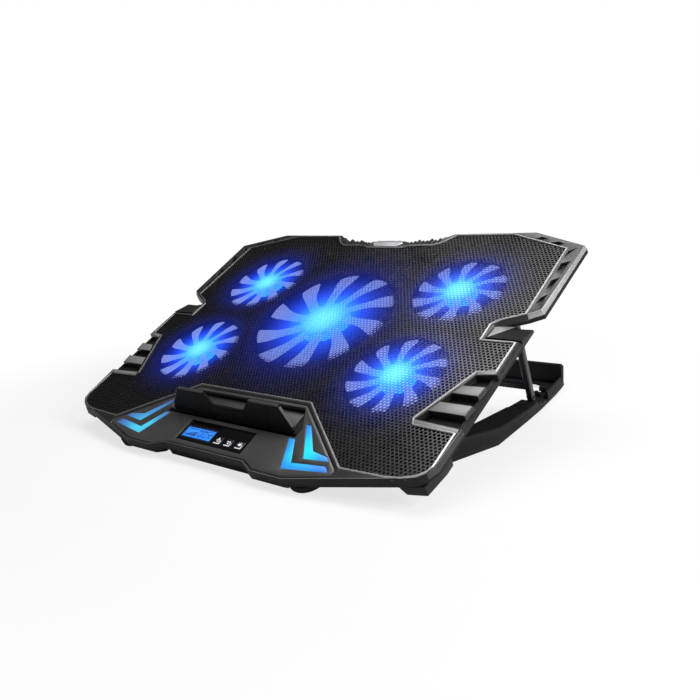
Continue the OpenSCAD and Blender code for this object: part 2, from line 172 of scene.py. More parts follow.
# ------------------------------------------------------------------ shells
def face_outwards(mesh, dissolve=True):
    bm = bmesh.new()
    bm.from_mesh(mesh)
    if dissolve:
        bmesh.ops.dissolve_degenerate(bm, dist=1e-7, edges=bm.edges)
    bmesh.ops.recalc_face_normals(bm, faces=bm.faces)
    bm.to_mesh(mesh)
    bm.free()


class Shell:
    """Collects closed solids in a local frame; place turns local mm into world metres."""

    def __init__(self, place=on_deck):
        self.place = place
        self.points, self.plan, self.heights = [], [], []
        self.faces, self.face_materials = [], []
        self.material = 0

    def add(self, points):
        first = len(self.points)
        for x, y, z in points:
            self.points.append(self.place(x, y, z))
            self.plan.append((x, y))
            self.heights.append(z)
        return list(range(first, len(self.points)))

    def face(self, corners):
        self.faces.append(tuple(corners))
        self.face_materials.append(self.material)

    def ring(self, outline, z):
        return self.add([(x, y, z) for x, y in outline])

    def rings(self, outline, profile, z, side=1, weights=None):
        return [self.ring(inset(outline, side * d, weights), z + dz) for d, dz in profile]

    def walls(self, rings, edge_material=None):
        """Quads between rings; edge_material(start, end, level) may pick each one's material."""
        usual = self.material
        for level, (a, b) in enumerate(zip(rings, rings[1:])):
            for i in range(len(a)):
                j = (i + 1) % len(a)
                if edge_material:
                    self.material = edge_material(self.plan[a[i]], self.plan[a[j]], level)
                self.face((a[i], b[i], b[j], a[j]))
        self.material = usual

    def cap(self, outer, *holes):
        """Fills the outer ring, leaving the holes open."""
        flat = [i for loop in (outer, *holes) for i in loop]
        edges, start = [], 0
        for loop in (outer, *holes):
            n = len(loop)
            edges += [(start + i, start + (i + 1) % n) for i in range(n)]
            start += n
        corners = [Vector(self.plan[i]) for i in flat]
        spots, _, fills, sources, _, _ = delaunay_2d_cdt(corners, edges, [], 0, 1e-5, True)
        around = [self.plan[i] for i in outer]
        gaps = [[self.plan[i] for i in loop] for loop in holes]
        ids = []
        for spot, source in zip(spots, sources):
            if source:
                ids.append(flat[source[0]])
            else:
                ids += self.add([(spot.x, spot.y, self.heights[flat[0]])])
        for fill in fills:
            x = sum(spots[i].x for i in fill) / len(fill)
            y = sum(spots[i].y for i in fill) / len(fill)
            if inside(around, x, y) and not any(inside(gap, x, y) for gap in gaps):
                self.face([ids[i] for i in fill])

    def plate(self, outline, top, bottom, holes=(), pockets=(), edge=0.4, foot=0.2, steps=2,
              hole_edge=None, profile=None, weights=None, hole_profiles=(),
              hole_materials=(), edge_material=None):
        """A closed plate. edge and foot are its upper and lower edge radii, or profile gives
        the upper edge. Holes go through; pockets are (outline, depth)."""
        usual = self.material
        outline = ccw(outline)
        under = [(d, -dz) for d, dz in reversed(rounded_edge(foot, 1))]
        outer = self.rings(outline, profile or rounded_edge(edge, steps), top, 1, weights)
        outer += self.rings(outline, under, bottom)
        self.walls(outer, edge_material)
        tops, bottoms = [outer[0]], [outer[-1]]
        mouth = rounded_edge(hole_edge or edge, steps)
        for k, hole in enumerate(holes):
            hole = ccw(hole)
            shape = hole_profiles[k] if k < len(hole_profiles) else mouth
            lining = hole_materials[k] if k < len(hole_materials) else usual
            rings = self.rings(hole, shape, top, -1) + self.rings(hole, under, bottom, -1)
            self.walls(rings, lambda p, q, level: lining if level < len(shape) - 1 else usual)
            tops.append(rings[0])
            bottoms.append(rings[-1])
        for pocket, depth in pockets:
            pocket = ccw(pocket)
            rings = self.rings(pocket, mouth, top, -1) + [self.ring(pocket, top - depth)]
            self.walls(rings)
            self.cap(rings[-1])
            tops.append(rings[0])
        self.cap(*tops)
        self.cap(*bottoms)

    def both(self, outline, *args, **options):
        """The same plate on the right and on the left."""
        for shape in pair(outline):
            self.plate(shape, *args, **options)

    def slab(self, corners, bottom, side):
        """A prism whose top corners have their own heights."""
        upper = self.add([(side * x, y, z) for x, y, z in corners])
        lower = self.add([(side * x, y, bottom) for x, y, _ in corners])
        self.walls([upper, lower])
        self.cap(upper)
        self.cap(lower)

    def rod(self, x0, x1, y, radius, bevel=0.3, segments=24):
        """A closed cylinder along x at z = 0."""
        x0, x1 = sorted((x0, x1))
        angles = [2 * math.pi * k / segments for k in range(segments)]
        stations = ((x0, radius - bevel), (x0 + bevel, radius),
                    (x1 - bevel, radius), (x1, radius - bevel))
        rings = [self.add([(x, y + r * math.cos(a), r * math.sin(a)) for a in angles])
                 for x, r in stations]
        self.walls(rings)
        self.face(rings[0])
        self.face(reversed(rings[-1]))

    def lathe(self, cx, cy, profile, segments=48):
        """Turned shape about z from (radius, z) stations; it starts and ends at radius 0."""
        rings = [self.ring(circle(cx, cy, r, segments) if r > 0 else [(cx, cy)], z)
                 for r, z in profile]
        for a, b in zip(rings, rings[1:]):
            if len(a) == len(b):
                self.walls([a, b])
                continue
            for i in range(segments):
                j = (i + 1) % segments
                self.face((a[0], b[i], b[j]) if len(a) == 1 else (a[i], b[0], a[j]))

    def lattice(self, wanted, pitch_x, pitch_y, opening, top, bottom, x_range, y_range):
        """Sheet of hexagonal cells, each with a hole scaled by opening.
        Cells whose centre passes wanted(x, y) are kept and share their outer corners."""
        cells = []
        for j in range(math.floor(y_range[0] / pitch_y), math.ceil(y_range[1] / pitch_y) + 1):
            offset = 0.5 if j % 2 else 0.0
            for i in range(math.floor(x_range[0] / pitch_x) - 1,
                           math.ceil(x_range[1] / pitch_x) + 2):
                x, y = (i + offset) * pitch_x, j * pitch_y
                if (x_range[0] <= x < x_range[1] and y_range[0] <= y < y_range[1]
                        and wanted(x, y)):
                    cells.append((x, y))
        shared = {}

        def corner(x, y, z):
            key = (round(x * 1000), round(y * 1000), z)
            if key not in shared:
                shared[key] = self.add([(x, y, z)])[0]
            return shared[key]

        half, tip, shoulder = pitch_x / 2, pitch_y * 2 / 3, pitch_y / 3
        hexagon = [(0, tip), (-half, shoulder), (-half, -shoulder),
                   (0, -tip), (half, -shoulder), (half, shoulder)]
        open_edges = {}
        for x, y in cells:
            outer_top = [corner(x + dx, y + dy, top) for dx, dy in hexagon]
            outer_low = [corner(x + dx, y + dy, bottom) for dx, dy in hexagon]
            hole = [(x + dx * opening, y + dy * opening) for dx, dy in hexagon]
            hole_top, hole_low = self.ring(hole, top), self.ring(hole, bottom)
            for k in range(6):
                n = (k + 1) % 6
                self.face((outer_top[k], outer_top[n], hole_top[n], hole_top[k]))
                self.face((hole_top[k], hole_top[n], hole_low[n], hole_low[k]))
                self.face((hole_low[k], hole_low[n], outer_low[n], outer_low[k]))
                start, end = outer_top[k], outer_top[n]
                # an edge met again from its other side is no longer on the border
                if (end, start) in open_edges:
                    del open_edges[end, start]
                else:
                    open_edges[start, end] = (outer_low[k], outer_low[n])
        for (start, end), (low_start, low_end) in open_edges.items():
            self.face((end, start, low_start, low_end))

    def build(self, name, slot, *materials, body="deck", replaces=None, smooth=32, fix=True):
        """Makes the object; materials are keys of MATERIALS, smooth is an angle in degrees."""
        mesh = bpy.data.meshes.new(name)
        mesh.from_pydata(self.points, [], self.faces)
        for key in materials:
            mesh.materials.append(MATERIALS[key])
        if len(materials) > 1:
            mesh.polygons.foreach_set("material_index", self.face_materials)
        if fix:
            face_outwards(mesh)
        mesh.polygons.foreach_set("use_smooth", [True] * len(mesh.polygons))
        mesh.set_sharp_from_angle(angle=math.radians(smooth))
        mesh.update()
        ob = bpy.data.objects.new(name, mesh)
        scene.collection.objects.link(ob)
        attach(ob, body)
        if replaces:
            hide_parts(replaces)
        return ob


# ------------------------------------------------------------------ shader node helpers
class Nodes:
    """Short calls for building a node tree. Values may be numbers, tuples or sockets."""

    def __init__(self, tree):
        self.nodes, self.links = tree.nodes, tree.links

    def new(self, kind, **settings):
        node = self.nodes.new(kind)
        for key, value in settings.items():
            setattr(node, key, value)
        return node

    def put(self, socket, value):
        if isinstance(value, bpy.types.NodeSocket):
            self.links.new(value, socket)
        elif value is not None:
            socket.default_value = value

    def math(self, operation, a, b=None, clamp=False):
        node = self.new("ShaderNodeMath", operation=operation, use_clamp=clamp)
        self.put(node.inputs[0], a)
        self.put(node.inputs[1], b)
        return node.outputs[0]

    def vector(self, operation, a, b=None, output=0):
        node = self.new("ShaderNodeVectorMath", operation=operation)
        self.put(node.inputs[0], a)
        self.put(node.inputs[1], b)
        return node.outputs[output]

    def dot(self, a, b):
        return self.vector("DOT_PRODUCT", a, b, output=1)

    def scale(self, vector, factor):
        scaled = self.vector("SCALE", vector)
        self.put(scaled.node.inputs[3], factor)
        return scaled

    def distance(self, u, v, centre):
        du = self.math("SUBTRACT", u, centre[0])
        dv = self.math("SUBTRACT", v, centre[1])
        squares = self.math("ADD", self.math("MULTIPLY", du, du), self.math("MULTIPLY", dv, dv))
        return self.math("SQRT", squares)

    def ramp(self, factor, stops):
        node = self.new("ShaderNodeValToRGB")
        elements = node.color_ramp.elements
        while len(elements) < len(stops):
            elements.new(0.5)
        for element, (position, colour) in zip(elements, stops):
            element.position = position
            element.color = (*colour, 1)
        self.put(node.inputs[0], factor)
        return node.outputs[0]

    def mix(self, factor, a, b):
        node = self.new("ShaderNodeMix", data_type="RGBA")
        self.put(node.inputs[0], factor)
        for socket, value in ((node.inputs[6], a), (node.inputs[7], b)):
            self.put(socket, (*value, 1) if isinstance(value, tuple) else value)
        return node.outputs[2]

    def remap(self, value, span=(0.3, 0.7), to=(0.0, 1.0), smooth=False):
        """Maps span onto to, clamped. The default span is the useful range of a noise."""
        node = self.new("ShaderNodeMapRange", clamp=True)
        if smooth:
            node.interpolation_type = "SMOOTHSTEP"
        self.put(node.inputs[0], value)
        for i, limit in enumerate((*span, *to), 1):
            node.inputs[i].default_value = limit
        return node.outputs[0]

    def noise(self, position, scale, detail=3.0, roughness=0.5):
        node = self.new("ShaderNodeTexNoise")
        self.put(node.inputs["Vector"], position)
        node.inputs["Scale"].default_value = scale
        node.inputs["Detail"].default_value = detail
        node.inputs["Roughness"].default_value = roughness
        return node.outputs[0]


def fan_distance_group():
    """Dist: distance from the nearest fan centre in the deck's plane, in that fan's radii.
    U, V, W: the point in the deck frame, in mm."""
    group = bpy.data.node_groups.new("fan_distance", "ShaderNodeTree")
    group.interface.new_socket("Vector", in_out="INPUT", socket_type="NodeSocketVector")
    for name in ("Dist", "U", "V", "W"):
        group.interface.new_socket(name, in_out="OUTPUT", socket_type="NodeSocketFloat")
    nodes = Nodes(group)
    source, result = nodes.new("NodeGroupInput"), nodes.new("NodeGroupOutput")
    world_mm = nodes.scale(source.outputs[0], 1 / MM)
    offset = nodes.vector("SUBTRACT", world_mm, (0, Y_SHIFT, DECK_HEIGHT))
    u, v, w = [nodes.dot(offset, axis) for axis in ((1, 0, 0), UP_SLOPE, NORMAL)]
    nearest = None
    for x, y, radius, _ in FANS.values():
        share = nodes.math("DIVIDE", nodes.distance(u, v, (x, y)), radius)
        nearest = share if nearest is None else nodes.math("MINIMUM", nearest, share)
    for socket, value in zip(result.inputs, (nearest, u, v, w)):
        nodes.put(socket, value)
    return group


FAN_GROUP = fan_distance_group()


class Surface(Nodes):
    """A new material with a Principled shader and object coordinates."""

    def __init__(self, name):
        self.material = bpy.data.materials.new(name)
        self.material.use_nodes = True
        super().__init__(self.material.node_tree)
        self.nodes.clear()
        self.output = self.new("ShaderNodeOutputMaterial")
        self.shader = self.new("ShaderNodeBsdfPrincipled")
        self.put(self.output.inputs[0], self.shader.outputs[0])
        self.position = self.new("ShaderNodeTexCoord").outputs["Object"]

    def set(self, name, value):
        self.put(self.shader.inputs[name], value)

    def source(self, name):
        return self.shader.inputs[name].links[0].from_socket

    def geometry(self, name):
        return self.new("ShaderNodeNewGeometry").outputs[name]

    def fan_place(self, position):
        node = self.new("ShaderNodeGroup", node_tree=FAN_GROUP)
        self.put(node.inputs[0], position)
        return node.outputs


def shade(colour, gain, lift=0.0):
    return tuple(min(1.0, c * gain + lift) for c in colour)


def plastic(name, colour, roughness=0.42, variation=0.18, grain=0.25, grain_scale=1500.0,
            wear=0.35, wear_colour=None, specular=0.5, metallic=0.0, smudge=0.10, bevel=0.35,
            stretch=None, coat=0.0):
    """A grained surface whose edges are lightened, partly as wear and partly as a painted edge
    highlight. grain is the bump's strength, smudge the spread of roughness, bevel the edge
    radius in mm; stretch draws the grain out along an axis."""
    surface = Surface(name)
    surface.material.diffuse_color = (*colour, 1)
    broad = surface.noise(surface.position, scale=22.0, detail=4.0, roughness=0.6)
    medium = surface.noise(surface.position, scale=170.0)
    fine = surface.noise(surface.position, scale=grain_scale, detail=2.0)
    tint = surface.mix(surface.remap(broad),
                       shade(colour, 1 - variation), shade(colour, 1 + variation))
    specks = surface.remap(fine, span=(0.35, 0.75), to=(0.0, 0.35))
    tint = surface.mix(specks, tint, shade(colour, gain=1.6, lift=0.002))

    # edge wear and a painted edge highlight show where the bevelled normal leaves the face's own
    bevel_node = surface.new("ShaderNodeBevel", samples=4)
    bevel_node.inputs["Radius"].default_value = bevel * MM
    bevelled = bevel_node.outputs[0]
    agreement = surface.dot(bevelled, surface.geometry("True Normal"))
    edge_wear_and_highlight_mask = surface.remap(agreement, span=(0.995, 0.86))
    patches = surface.remap(medium, span=(0.3, 0.62), to=(0.25, 1.0))
    edge_wear_and_highlight_mask = surface.math("MULTIPLY", surface.math("MULTIPLY", edge_wear_and_highlight_mask, patches), wear)
    tint = surface.mix(edge_wear_and_highlight_mask, tint, wear_colour or shade(colour, gain=2.6, lift=0.03))
    surface.set("Base Color", tint)

    # roughness: medium and broad unevenness, smoother on worn edges
    rough = surface.math("ADD", surface.remap(medium, span=(0.25, 0.75), to=(-0.05, 0.06)),
                         surface.remap(broad, to=(-smudge * 0.5, smudge)))
    rough = surface.math("ADD", rough, roughness)
    polish = surface.math("MULTIPLY", edge_wear_and_highlight_mask, 0.12)
    surface.set("Roughness", surface.math("SUBTRACT", rough, polish, clamp=True))
    surface.set("Metallic", metallic)
    surface.set("Specular IOR Level", specular)
    if coat:
        surface.set("Coat Weight", coat)
        surface.set("Coat Roughness", 0.08)

    relief = fine
    if stretch:
        stretched = surface.vector("MULTIPLY", surface.position, stretch)
        relief = surface.noise(stretched, scale=1.0, roughness=0.6)
    bump = surface.new("ShaderNodeBump")
    bump.inputs["Strength"].default_value = grain
    bump.inputs["Distance"].default_value = 0.00006
    surface.put(bump.inputs["Height"], relief)
    surface.put(bump.inputs["Normal"], bevelled)
    surface.set("Normal", bump.outputs[0])
    return surface


GLOW_REACH = 2.0    # fan radii covered by the glow's colour ramp


def fan_glow(surface, bands, haze=None):
    """Adds the fans' light to faces that look up. Bands are (distance in fan radii, colour).
    haze is a height on the deck's normal where the light seems to hang; the light then
    follows the line of sight to that height."""
    point = surface.position
    if haze is not None:
        height = surface.fan_place(point)["W"]
        sight = surface.geometry("Incoming")
        rise = surface.math("MAXIMUM", surface.dot(sight, NORMAL), 0.25)
        gap = surface.math("MULTIPLY", surface.math("SUBTRACT", haze, height), MM)
        travel = surface.math("DIVIDE", gap, rise)
        point = surface.vector("ADD", point, surface.scale(sight, travel))
    place = surface.fan_place(point)
    share = surface.math("MULTIPLY", place["Dist"], 1 / GLOW_REACH, clamp=True)
    stops = [(distance / GLOW_REACH, colour) for distance, colour in bands]
    surface.set("Emission Color", surface.ramp(share, stops))
    facing = surface.dot(surface.geometry("True Normal"), NORMAL)
    surface.set("Emission Strength", surface.remap(facing, span=(-0.6, 0.0)))
    return place


# ------------------------------------------------------------------ materials
MATERIALS = {}


def add_plastic(key, name, colour, **look):
    MATERIALS[key] = plastic(name, colour, **look).material


def rim_material():
    """Light grey rim, a painted highlight for the bright line along the black rim, with painted
    shade darkening it towards the left of the deck.
    """
    rim = plastic("rim_satin_plastic.001", (0.46, 0.46, 0.465), roughness=0.26, variation=0.12,
                  grain=0.3, wear=0.3, wear_colour=(0.66, 0.66, 0.67), specular=0.9,
                  metallic=0.35)
    across = rim.fan_place(rim.position)["U"]
    tint = rim.source("Base Color")
    # painted shade: the rim turns dark towards the left of the deck
    painted_shade_to_left = rim.remap(across, span=(-175.0, 150.0), to=(0.78, 0.0))
    rim.set("Base Color", rim.mix(painted_shade_to_left, tint, (0.03, 0.03, 0.031)))
    return rim.material


add_plastic("frame", "satin_black_plastic", (0.014, 0.014, 0.015), roughness=0.30,
            variation=0.2, grain=0.35, wear=0.28, wear_colour=(0.16, 0.16, 0.165),
            specular=0.75)
MATERIALS["rim"] = rim_material()
# light grey for the notch's valley facets: a painted highlight on black plastic
add_plastic("facet", "facet_grey_plastic", (0.26, 0.26, 0.265), roughness=0.34,
            variation=0.12, grain=0.35, wear=0.4, specular=0.8)
# light grey for the louvre bars: painted sheen on black plastic
add_plastic("louvre", "louvre_painted_sheen_grey", (0.26, 0.26, 0.262), roughness=0.34,
            variation=0.14, grain=0.4, wear=0.4, wear_colour=(0.2, 0.2, 0.2), specular=0.8,
            stretch=(120, 2600, 900))
add_plastic("shell", "black_plastic", (0.007, 0.007, 0.008), roughness=0.46, variation=0.2,
            grain=0.5, wear=0.25, specular=0.3)
# a darker black for slot floors, recesses and the walls below the rim: painted shade
add_plastic("painted_shade", "recess_painted_shade_black", (0.005, 0.005, 0.006), roughness=0.55,
            variation=0.2, grain=0.5, wear=0.15, specular=0.3)
add_plastic("panel", "panel_grey", (0.055, 0.055, 0.056), roughness=0.34, variation=0.14,
            grain=0.35, wear=0.25, wear_colour=(0.12, 0.12, 0.12), specular=0.9)
add_plastic("stop", "stop_black_plastic", (0.0022, 0.0022, 0.0026), roughness=0.52,
            variation=0.2, grain=0.4, wear=0.6, wear_colour=(0.05, 0.05, 0.05), specular=0.12)
add_plastic("stand", "stand_grey", (0.0075, 0.0075, 0.008), roughness=0.55, grain=0.6,
            grain_scale=1100, wear=0.55, wear_colour=(0.09, 0.09, 0.09), specular=0.16)
# lighter grey for the flap's top-edge lip: painted highlight
add_plastic("lip", "lip_grey_rubber", (0.040, 0.040, 0.041), roughness=0.5, variation=0.15,
            grain=0.5, wear=0.3, wear_colour=(0.10, 0.10, 0.10))
add_plastic("pin", "pin_dark_steel", (0.03, 0.03, 0.033), roughness=0.4, variation=0.1,
            grain=0.2, wear=0.1, metallic=0.6)
add_plastic("prop", "prop_black_plastic", (0.008, 0.008, 0.009), roughness=0.36,
            variation=0.2, grain=0.4, wear=0.5, wear_colour=(0.08, 0.08, 0.08))
add_plastic("rubber", "rubber_black", (0.012, 0.012, 0.012), roughness=0.78, variation=0.3,
            grain=0.9, grain_scale=900, wear=0.1, specular=0.3)
add_plastic("window", "window_black", (0.002, 0.002, 0.0025), roughness=0.12, variation=0.1,
            grain=0.02, wear=0.1, specular=0.3, smudge=0.05, coat=0.12)
add_plastic("key", "key_black", (0.006, 0.006, 0.007), roughness=0.22, variation=0.1,
            grain=0.05, wear=0.2, specular=0.55)
add_plastic("badge", "badge_silver", (0.72, 0.73, 0.76), roughness=0.26, variation=0.06,
            grain=0.3, wear=0.3, wear_colour=(0.95, 0.95, 0.96), metallic=1.0,
            stretch=(160, 5200, 5200))
add_plastic("steel", "steel_pin", (0.5, 0.5, 0.52), roughness=0.3, variation=0.1, grain=0.3,
            wear=0.2, wear_colour=(0.8, 0.8, 0.8), metallic=1.0, stretch=(5200, 400, 400))
add_plastic("screw", "screw_steel", (0.16, 0.16, 0.18), roughness=0.34, variation=0.1,
            grain=0.2, wear=0.5, wear_colour=(0.5, 0.5, 0.52), metallic=1.0, grain_scale=2600)
add_plastic("socket", "socket_metal", (0.66, 0.67, 0.69), roughness=0.2, variation=0.06,
            grain=0.15, wear=0.3, wear_colour=(0.95, 0.95, 0.95), metallic=1.0)
add_plastic("board", "circuit_board", (0.012, 0.075, 0.03), roughness=0.3, variation=0.2,
            grain=0.3, grain_scale=420, wear=0.1, coat=0.3)
add_plastic("wire", "wire_black", (0.02, 0.02, 0.02), roughness=0.5, variation=0.2,
            grain=0.5, wear=0.1, stretch=(900, 900, 900))

# glow seen on the belly's inside and on the fan guards: (distance in fan radii, colour)
BELLY_GLOW = [
    (0.0, (0.06, 0.70, 1.9)), (0.30, (0.045, 0.50, 1.9)), (0.42, (0.024, 0.26, 1.75)),
    (0.55, (0.014, 0.10, 1.30)), (0.7, (0.010, 0.045, 0.72)), (0.85, (0.007, 0.020, 0.34)),
    (1.0, (0.004, 0.010, 0.14)), (1.2, (0.001, 0.003, 0.05)), (1.5, (0, 0, 0.012)),
    (1.8, (0, 0, 0))]
BLADE_Z = -3.35     # middle height of the fan blades


def belly_material():
    belly = plastic("belly_black_plastic", (0.008, 0.008, 0.009), roughness=0.5,
                    variation=0.2, grain=0.5, wear=0.25)
    fan_glow(belly, BELLY_GLOW, haze=BLADE_Z)
    # lit only above the belly's floor
    height = belly.fan_place(belly.position)["W"]
    facing = belly.source("Emission Strength")
    above_floor = belly.remap(height, span=(-11.6, -11.1))
    belly.set("Emission Strength", belly.math("MULTIPLY", facing, above_floor))
    return belly.material


def fan_base_material():
    base = plastic("fan_base_black_plastic", (0.009, 0.009, 0.010), roughness=0.45,
                   variation=0.2, grain=0.4, wear=0.3)
    fan_glow(base, BELLY_GLOW, haze=BLADE_Z)
    return base.material


def perforated_material():
    sheet = plastic("perforated_metal", (0.016, 0.016, 0.0165), roughness=0.25,
                    variation=0.16, grain=0.35, grain_scale=1900, wear=0.0, metallic=0.25,
                    specular=0.8, bevel=0.12)
    place = fan_glow(sheet, [
        (0.0, (0.13, 0.78, 1.05)), (0.2, (0.09, 0.55, 1.05)), (0.36, (0.034, 0.221, 0.85)),
        (0.55, (0.021, 0.07, 0.595)), (0.8, (0.009, 0.024, 0.3)),
        (1.0, (0.0036, 0.0072, 0.132)), (1.15, (0.0018, 0.003, 0.066)),
        (1.35, (0.0006, 0.0012, 0.024)), (1.55, (0, 0, 0.006)), (1.75, (0, 0, 0))])
    # specular weaker towards the left: painted shade on the sheet's sheen
    sheet.set("Specular IOR Level", sheet.remap(place["U"], span=(-150.0, 110.0),
                                                to=(0.22, 0.8)))
    # over a fan the thin webs turn part clear to the camera, as if lost in the blades' glare
    clear = sheet.new("ShaderNodeBsdfTransparent")
    blend = sheet.new("ShaderNodeMixShader")
    camera_ray = sheet.new("ShaderNodeLightPath").outputs["Is Camera Ray"]
    over_fan = sheet.remap(place["Dist"], span=(1.10, 0.92), smooth=True)
    glare = sheet.math("MULTIPLY", over_fan, camera_ray)
    by_side = sheet.remap(place["U"], span=(-110.0, 110.0), to=(0.86, 0.56))
    sheet.put(blend.inputs[0], sheet.math("MULTIPLY", glare, by_side))
    sheet.put(blend.inputs[1], sheet.shader.outputs[0])
    sheet.put(blend.inputs[2], clear.outputs[0])
    sheet.put(sheet.output.inputs[0], blend.outputs[0])
    return sheet.material


def rotor_material():
    """Lit from within; colour follows the reach attribute, negative on the hub."""
    rotor = plastic("rotor_white", (0.10, 0.11, 0.16), roughness=0.35, variation=0.06,
                    grain=0.15, wear=0.0, bevel=0.2)
    reach = rotor.new("ShaderNodeAttribute", attribute_name="reach")
    low, high = -0.4, 1.0
    stops = [
        (-0.36, (0.05, 0.42, 1.06)), (-0.27, (0.11, 0.68, 1.08)), (-0.14, (0.17, 0.86, 1.1)),
        (0.0, (0.20, 0.95, 1.1)), (0.30, (0.10, 0.62, 1.08)), (0.42, (0.11, 0.46, 1.06)),
        (0.58, (0.16, 0.35, 1.04)), (0.8, (0.23, 0.33, 0.93)), (1.0, (0.24, 0.30, 0.78))]
    colour = rotor.ramp(rotor.remap(reach.outputs["Fac"], span=(low, high)),
                        [((value - low) / (high - low), c) for value, c in stops])
    across = rotor.fan_place(rotor.position)["U"]
    strength = rotor.remap(across, span=(0.0, 110.0), to=(1.05, 1.42))
    overall = rotor.math("MULTIPLY", strength, 1.0)
    cloud = rotor.remap(rotor.noise(rotor.position, scale=260.0, detail=2.0), to=(0.93, 1.05))
    rotor.set("Emission Color", colour)
    rotor.set("Emission Strength", rotor.math("MULTIPLY", overall, cloud))
    return rotor.material


def lens_material(name, corner, stops):
    """Light guide, brightest at corner (deck x, y). Stops are (distance in mm, colour)."""
    reach = 40.0
    lens = plastic(name, (0.012, 0.05, 0.10), roughness=0.2, variation=0.05, grain=0.05,
                   wear=0.35, bevel=0.3, wear_colour=(0.10, 0.22, 0.34), coat=0.3)
    place = lens.fan_place(lens.position)
    distance = lens.distance(place["U"], place["V"], corner)
    waver = lens.remap(lens.noise(lens.position, scale=90.0, detail=2.0), to=(-1.6, 1.6))
    share = lens.math("MULTIPLY", lens.math("ADD", distance, waver), 1 / reach, clamp=True)
    lens.set("Emission Color", lens.ramp(share, [(mm / reach, c) for mm, c in stops]))
    lens.set("Emission Strength", 1.0)
    return lens.material


def display_material():
    display = plastic("display_blue", (0.02, 0.12, 0.35), roughness=0.12, variation=0.05,
                      grain=0.02, wear=0.0, coat=0.6)
    cloud = display.remap(display.noise(display.position, scale=120.0))
    display.set("Emission Color", display.ramp(cloud, [
        (0.0, (0.015, 0.17, 0.86)), (0.6, (0.03, 0.26, 1.0)), (1.0, (0.06, 0.34, 1.0))]))
    display.set("Emission Strength", 0.95)
    return display.material


def glow_material(name, colour, emission, strength):
    glow = plastic(name, colour, roughness=0.4, variation=0.05, grain=0.05, wear=0.0)
    cloud = glow.remap(glow.noise(glow.position, scale=400.0, detail=2.0))
    dimmer = tuple(c * 0.9 for c in emission)
    glow.set("Emission Color", glow.mix(cloud, dimmer, emission))
    glow.set("Emission Strength", strength)
    return glow.material


MATERIALS["belly"] = belly_material()
MATERIALS["fan_base"] = fan_base_material()
MATERIALS["mesh"] = perforated_material()
MATERIALS["rotor"] = rotor_material()
MATERIALS["lens_left"] = lens_material("lens_cyan_left", corner=(-79.0, -146.0), stops=[
    (0, (0.07, 0.66, 0.84)), (7, (0.07, 0.60, 0.84)), (15, (0.055, 0.31, 0.66)),
    (24, (0.06, 0.155, 0.42)), (33, (0.035, 0.05, 0.13))])
MATERIALS["lens_right"] = lens_material("lens_cyan_right", corner=(84.0, -135.0), stops=[
    (0, (0.02, 0.84, 0.95)), (8, (0.02, 0.72, 0.94)), (16, (0.025, 0.36, 0.90)),
    (24, (0.02, 0.22, 0.78)), (33, (0.03, 0.16, 0.58))])
MATERIALS["display"] = display_material()
# white key marks, given a faint glow of their own
MATERIALS["glowing_mark"] = glow_material("key_mark_white", colour=(0.75, 0.76, 0.78),
                                 emission=(0.8, 0.85, 0.9), strength=0.55)
add_plastic("segment", "display_segment", (0.0, 0.02, 0.12), roughness=0.3, variation=0.1,
            grain=0.02, wear=0.0)
MATERIALS["led"] = glow_material("led_blue", colour=(0.02, 0.05, 0.2),
                                 emission=(0.0, 0.04, 0.6), strength=0.25)
add_plastic("display_rim", "display_rim", (0.01, 0.05, 0.16), roughness=0.25, variation=0.1,
            grain=0.05, wear=0.2)

# ------------------------------------------------------------------ deck outlines
# right halves as (x, y), from the front centre round to the rear centre
DECK_HALF = [
    (0, -157), (41.1, -157), (53.3, -DECK_FRONT), (81.7, -DECK_FRONT), (165.5, -140.4),
    (171.5, -137.9), (176.3, -133.4), (179.2, -126.5), (181.6, -9.2), (155, -9.2),
    (155.6, 4.4), (159.6, 8.6), (175, 16.6), (184.1, 23.1), (185, 104.5), (137.4, 123.9),
    (62.8, 122.6), (57.2, 118.4), (54.8, 118.6), (51.6, 114.2), (47.6, 112.4),
    (45.6, 114.6), (42.6, 114.6), (40.2, 111.8), (35, 111.6), (33.2, 113.2), (30.6, 113.2),
    (28.2, 109.8), (21.6, 109.2), (18, 111.9), (0, 111.9)]
LOUVRE_CUTS = [
    (179.9, -94.6), (145.9, -92.6), (149.8, -84.6), (176.6, -84.8), (178.2, -74.6),
    (153.8, -74.7), (157.6, -66.8), (176.9, -66.8), (178.4, -56.6), (162.2, -57.6),
    (166, -48.2), (180.8, -45.4)]
DECK = symmetric(DECK_HALF)
COMB = symmetric(DECK_HALF[:8] + LOUVRE_CUTS + DECK_HALF[8:])
MESH = symmetric([
    (0, -93.8), (58.2, -93.8), (117.2, -142.1), (151.4, -140.9), (161.5, -139),
    (169.6, -135.4), (174.2, -130.8), (175.6, -126.1), (176, -99.9), (145.5, -98.5),
    (142.2, -92.8), (164, -43.5), (177, -41.2), (177.4, -13), (151, -13), (150.6, 5.6),
    (156.4, 11.4), (171.6, 19.4), (170.3, 99.8), (118.5, 120.2), (66, 119.6),
    (57, 108.6), (50, 104.6), (24, 103.6), (19, 100.6), (0, 100.6)])
PANEL = symmetric([
    (0, -154.4), (41.8, -154.4), (54, -159.8), (81.4, -159.8), (115.2, -150.6),
    (115.2, -144.8), (56.8, -97), (0, -97)])
WING_SLOTS = [
    [(140.4, 114.6), (145.0, 112.4), (150.8, 113.6), (144.6, 116.6)],
    [(155.2, 108.4), (161.2, 104.4), (167.2, 106.2), (161.6, 109.6)],
    [(173.6, 96.4), (173.6, 88), (176.2, 95.4), (179.4, 101)],
    [(174.2, 80.6), (174.6, 70), (178.4, 75), (180.6, 83.6)],
    [(175.2, 59), (175.4, 48), (178.4, 53.6), (180.2, 63)],
    [(175.4, 37.6), (174.6, 30.6), (177.8, 34.2), (179.6, 42.6)]]
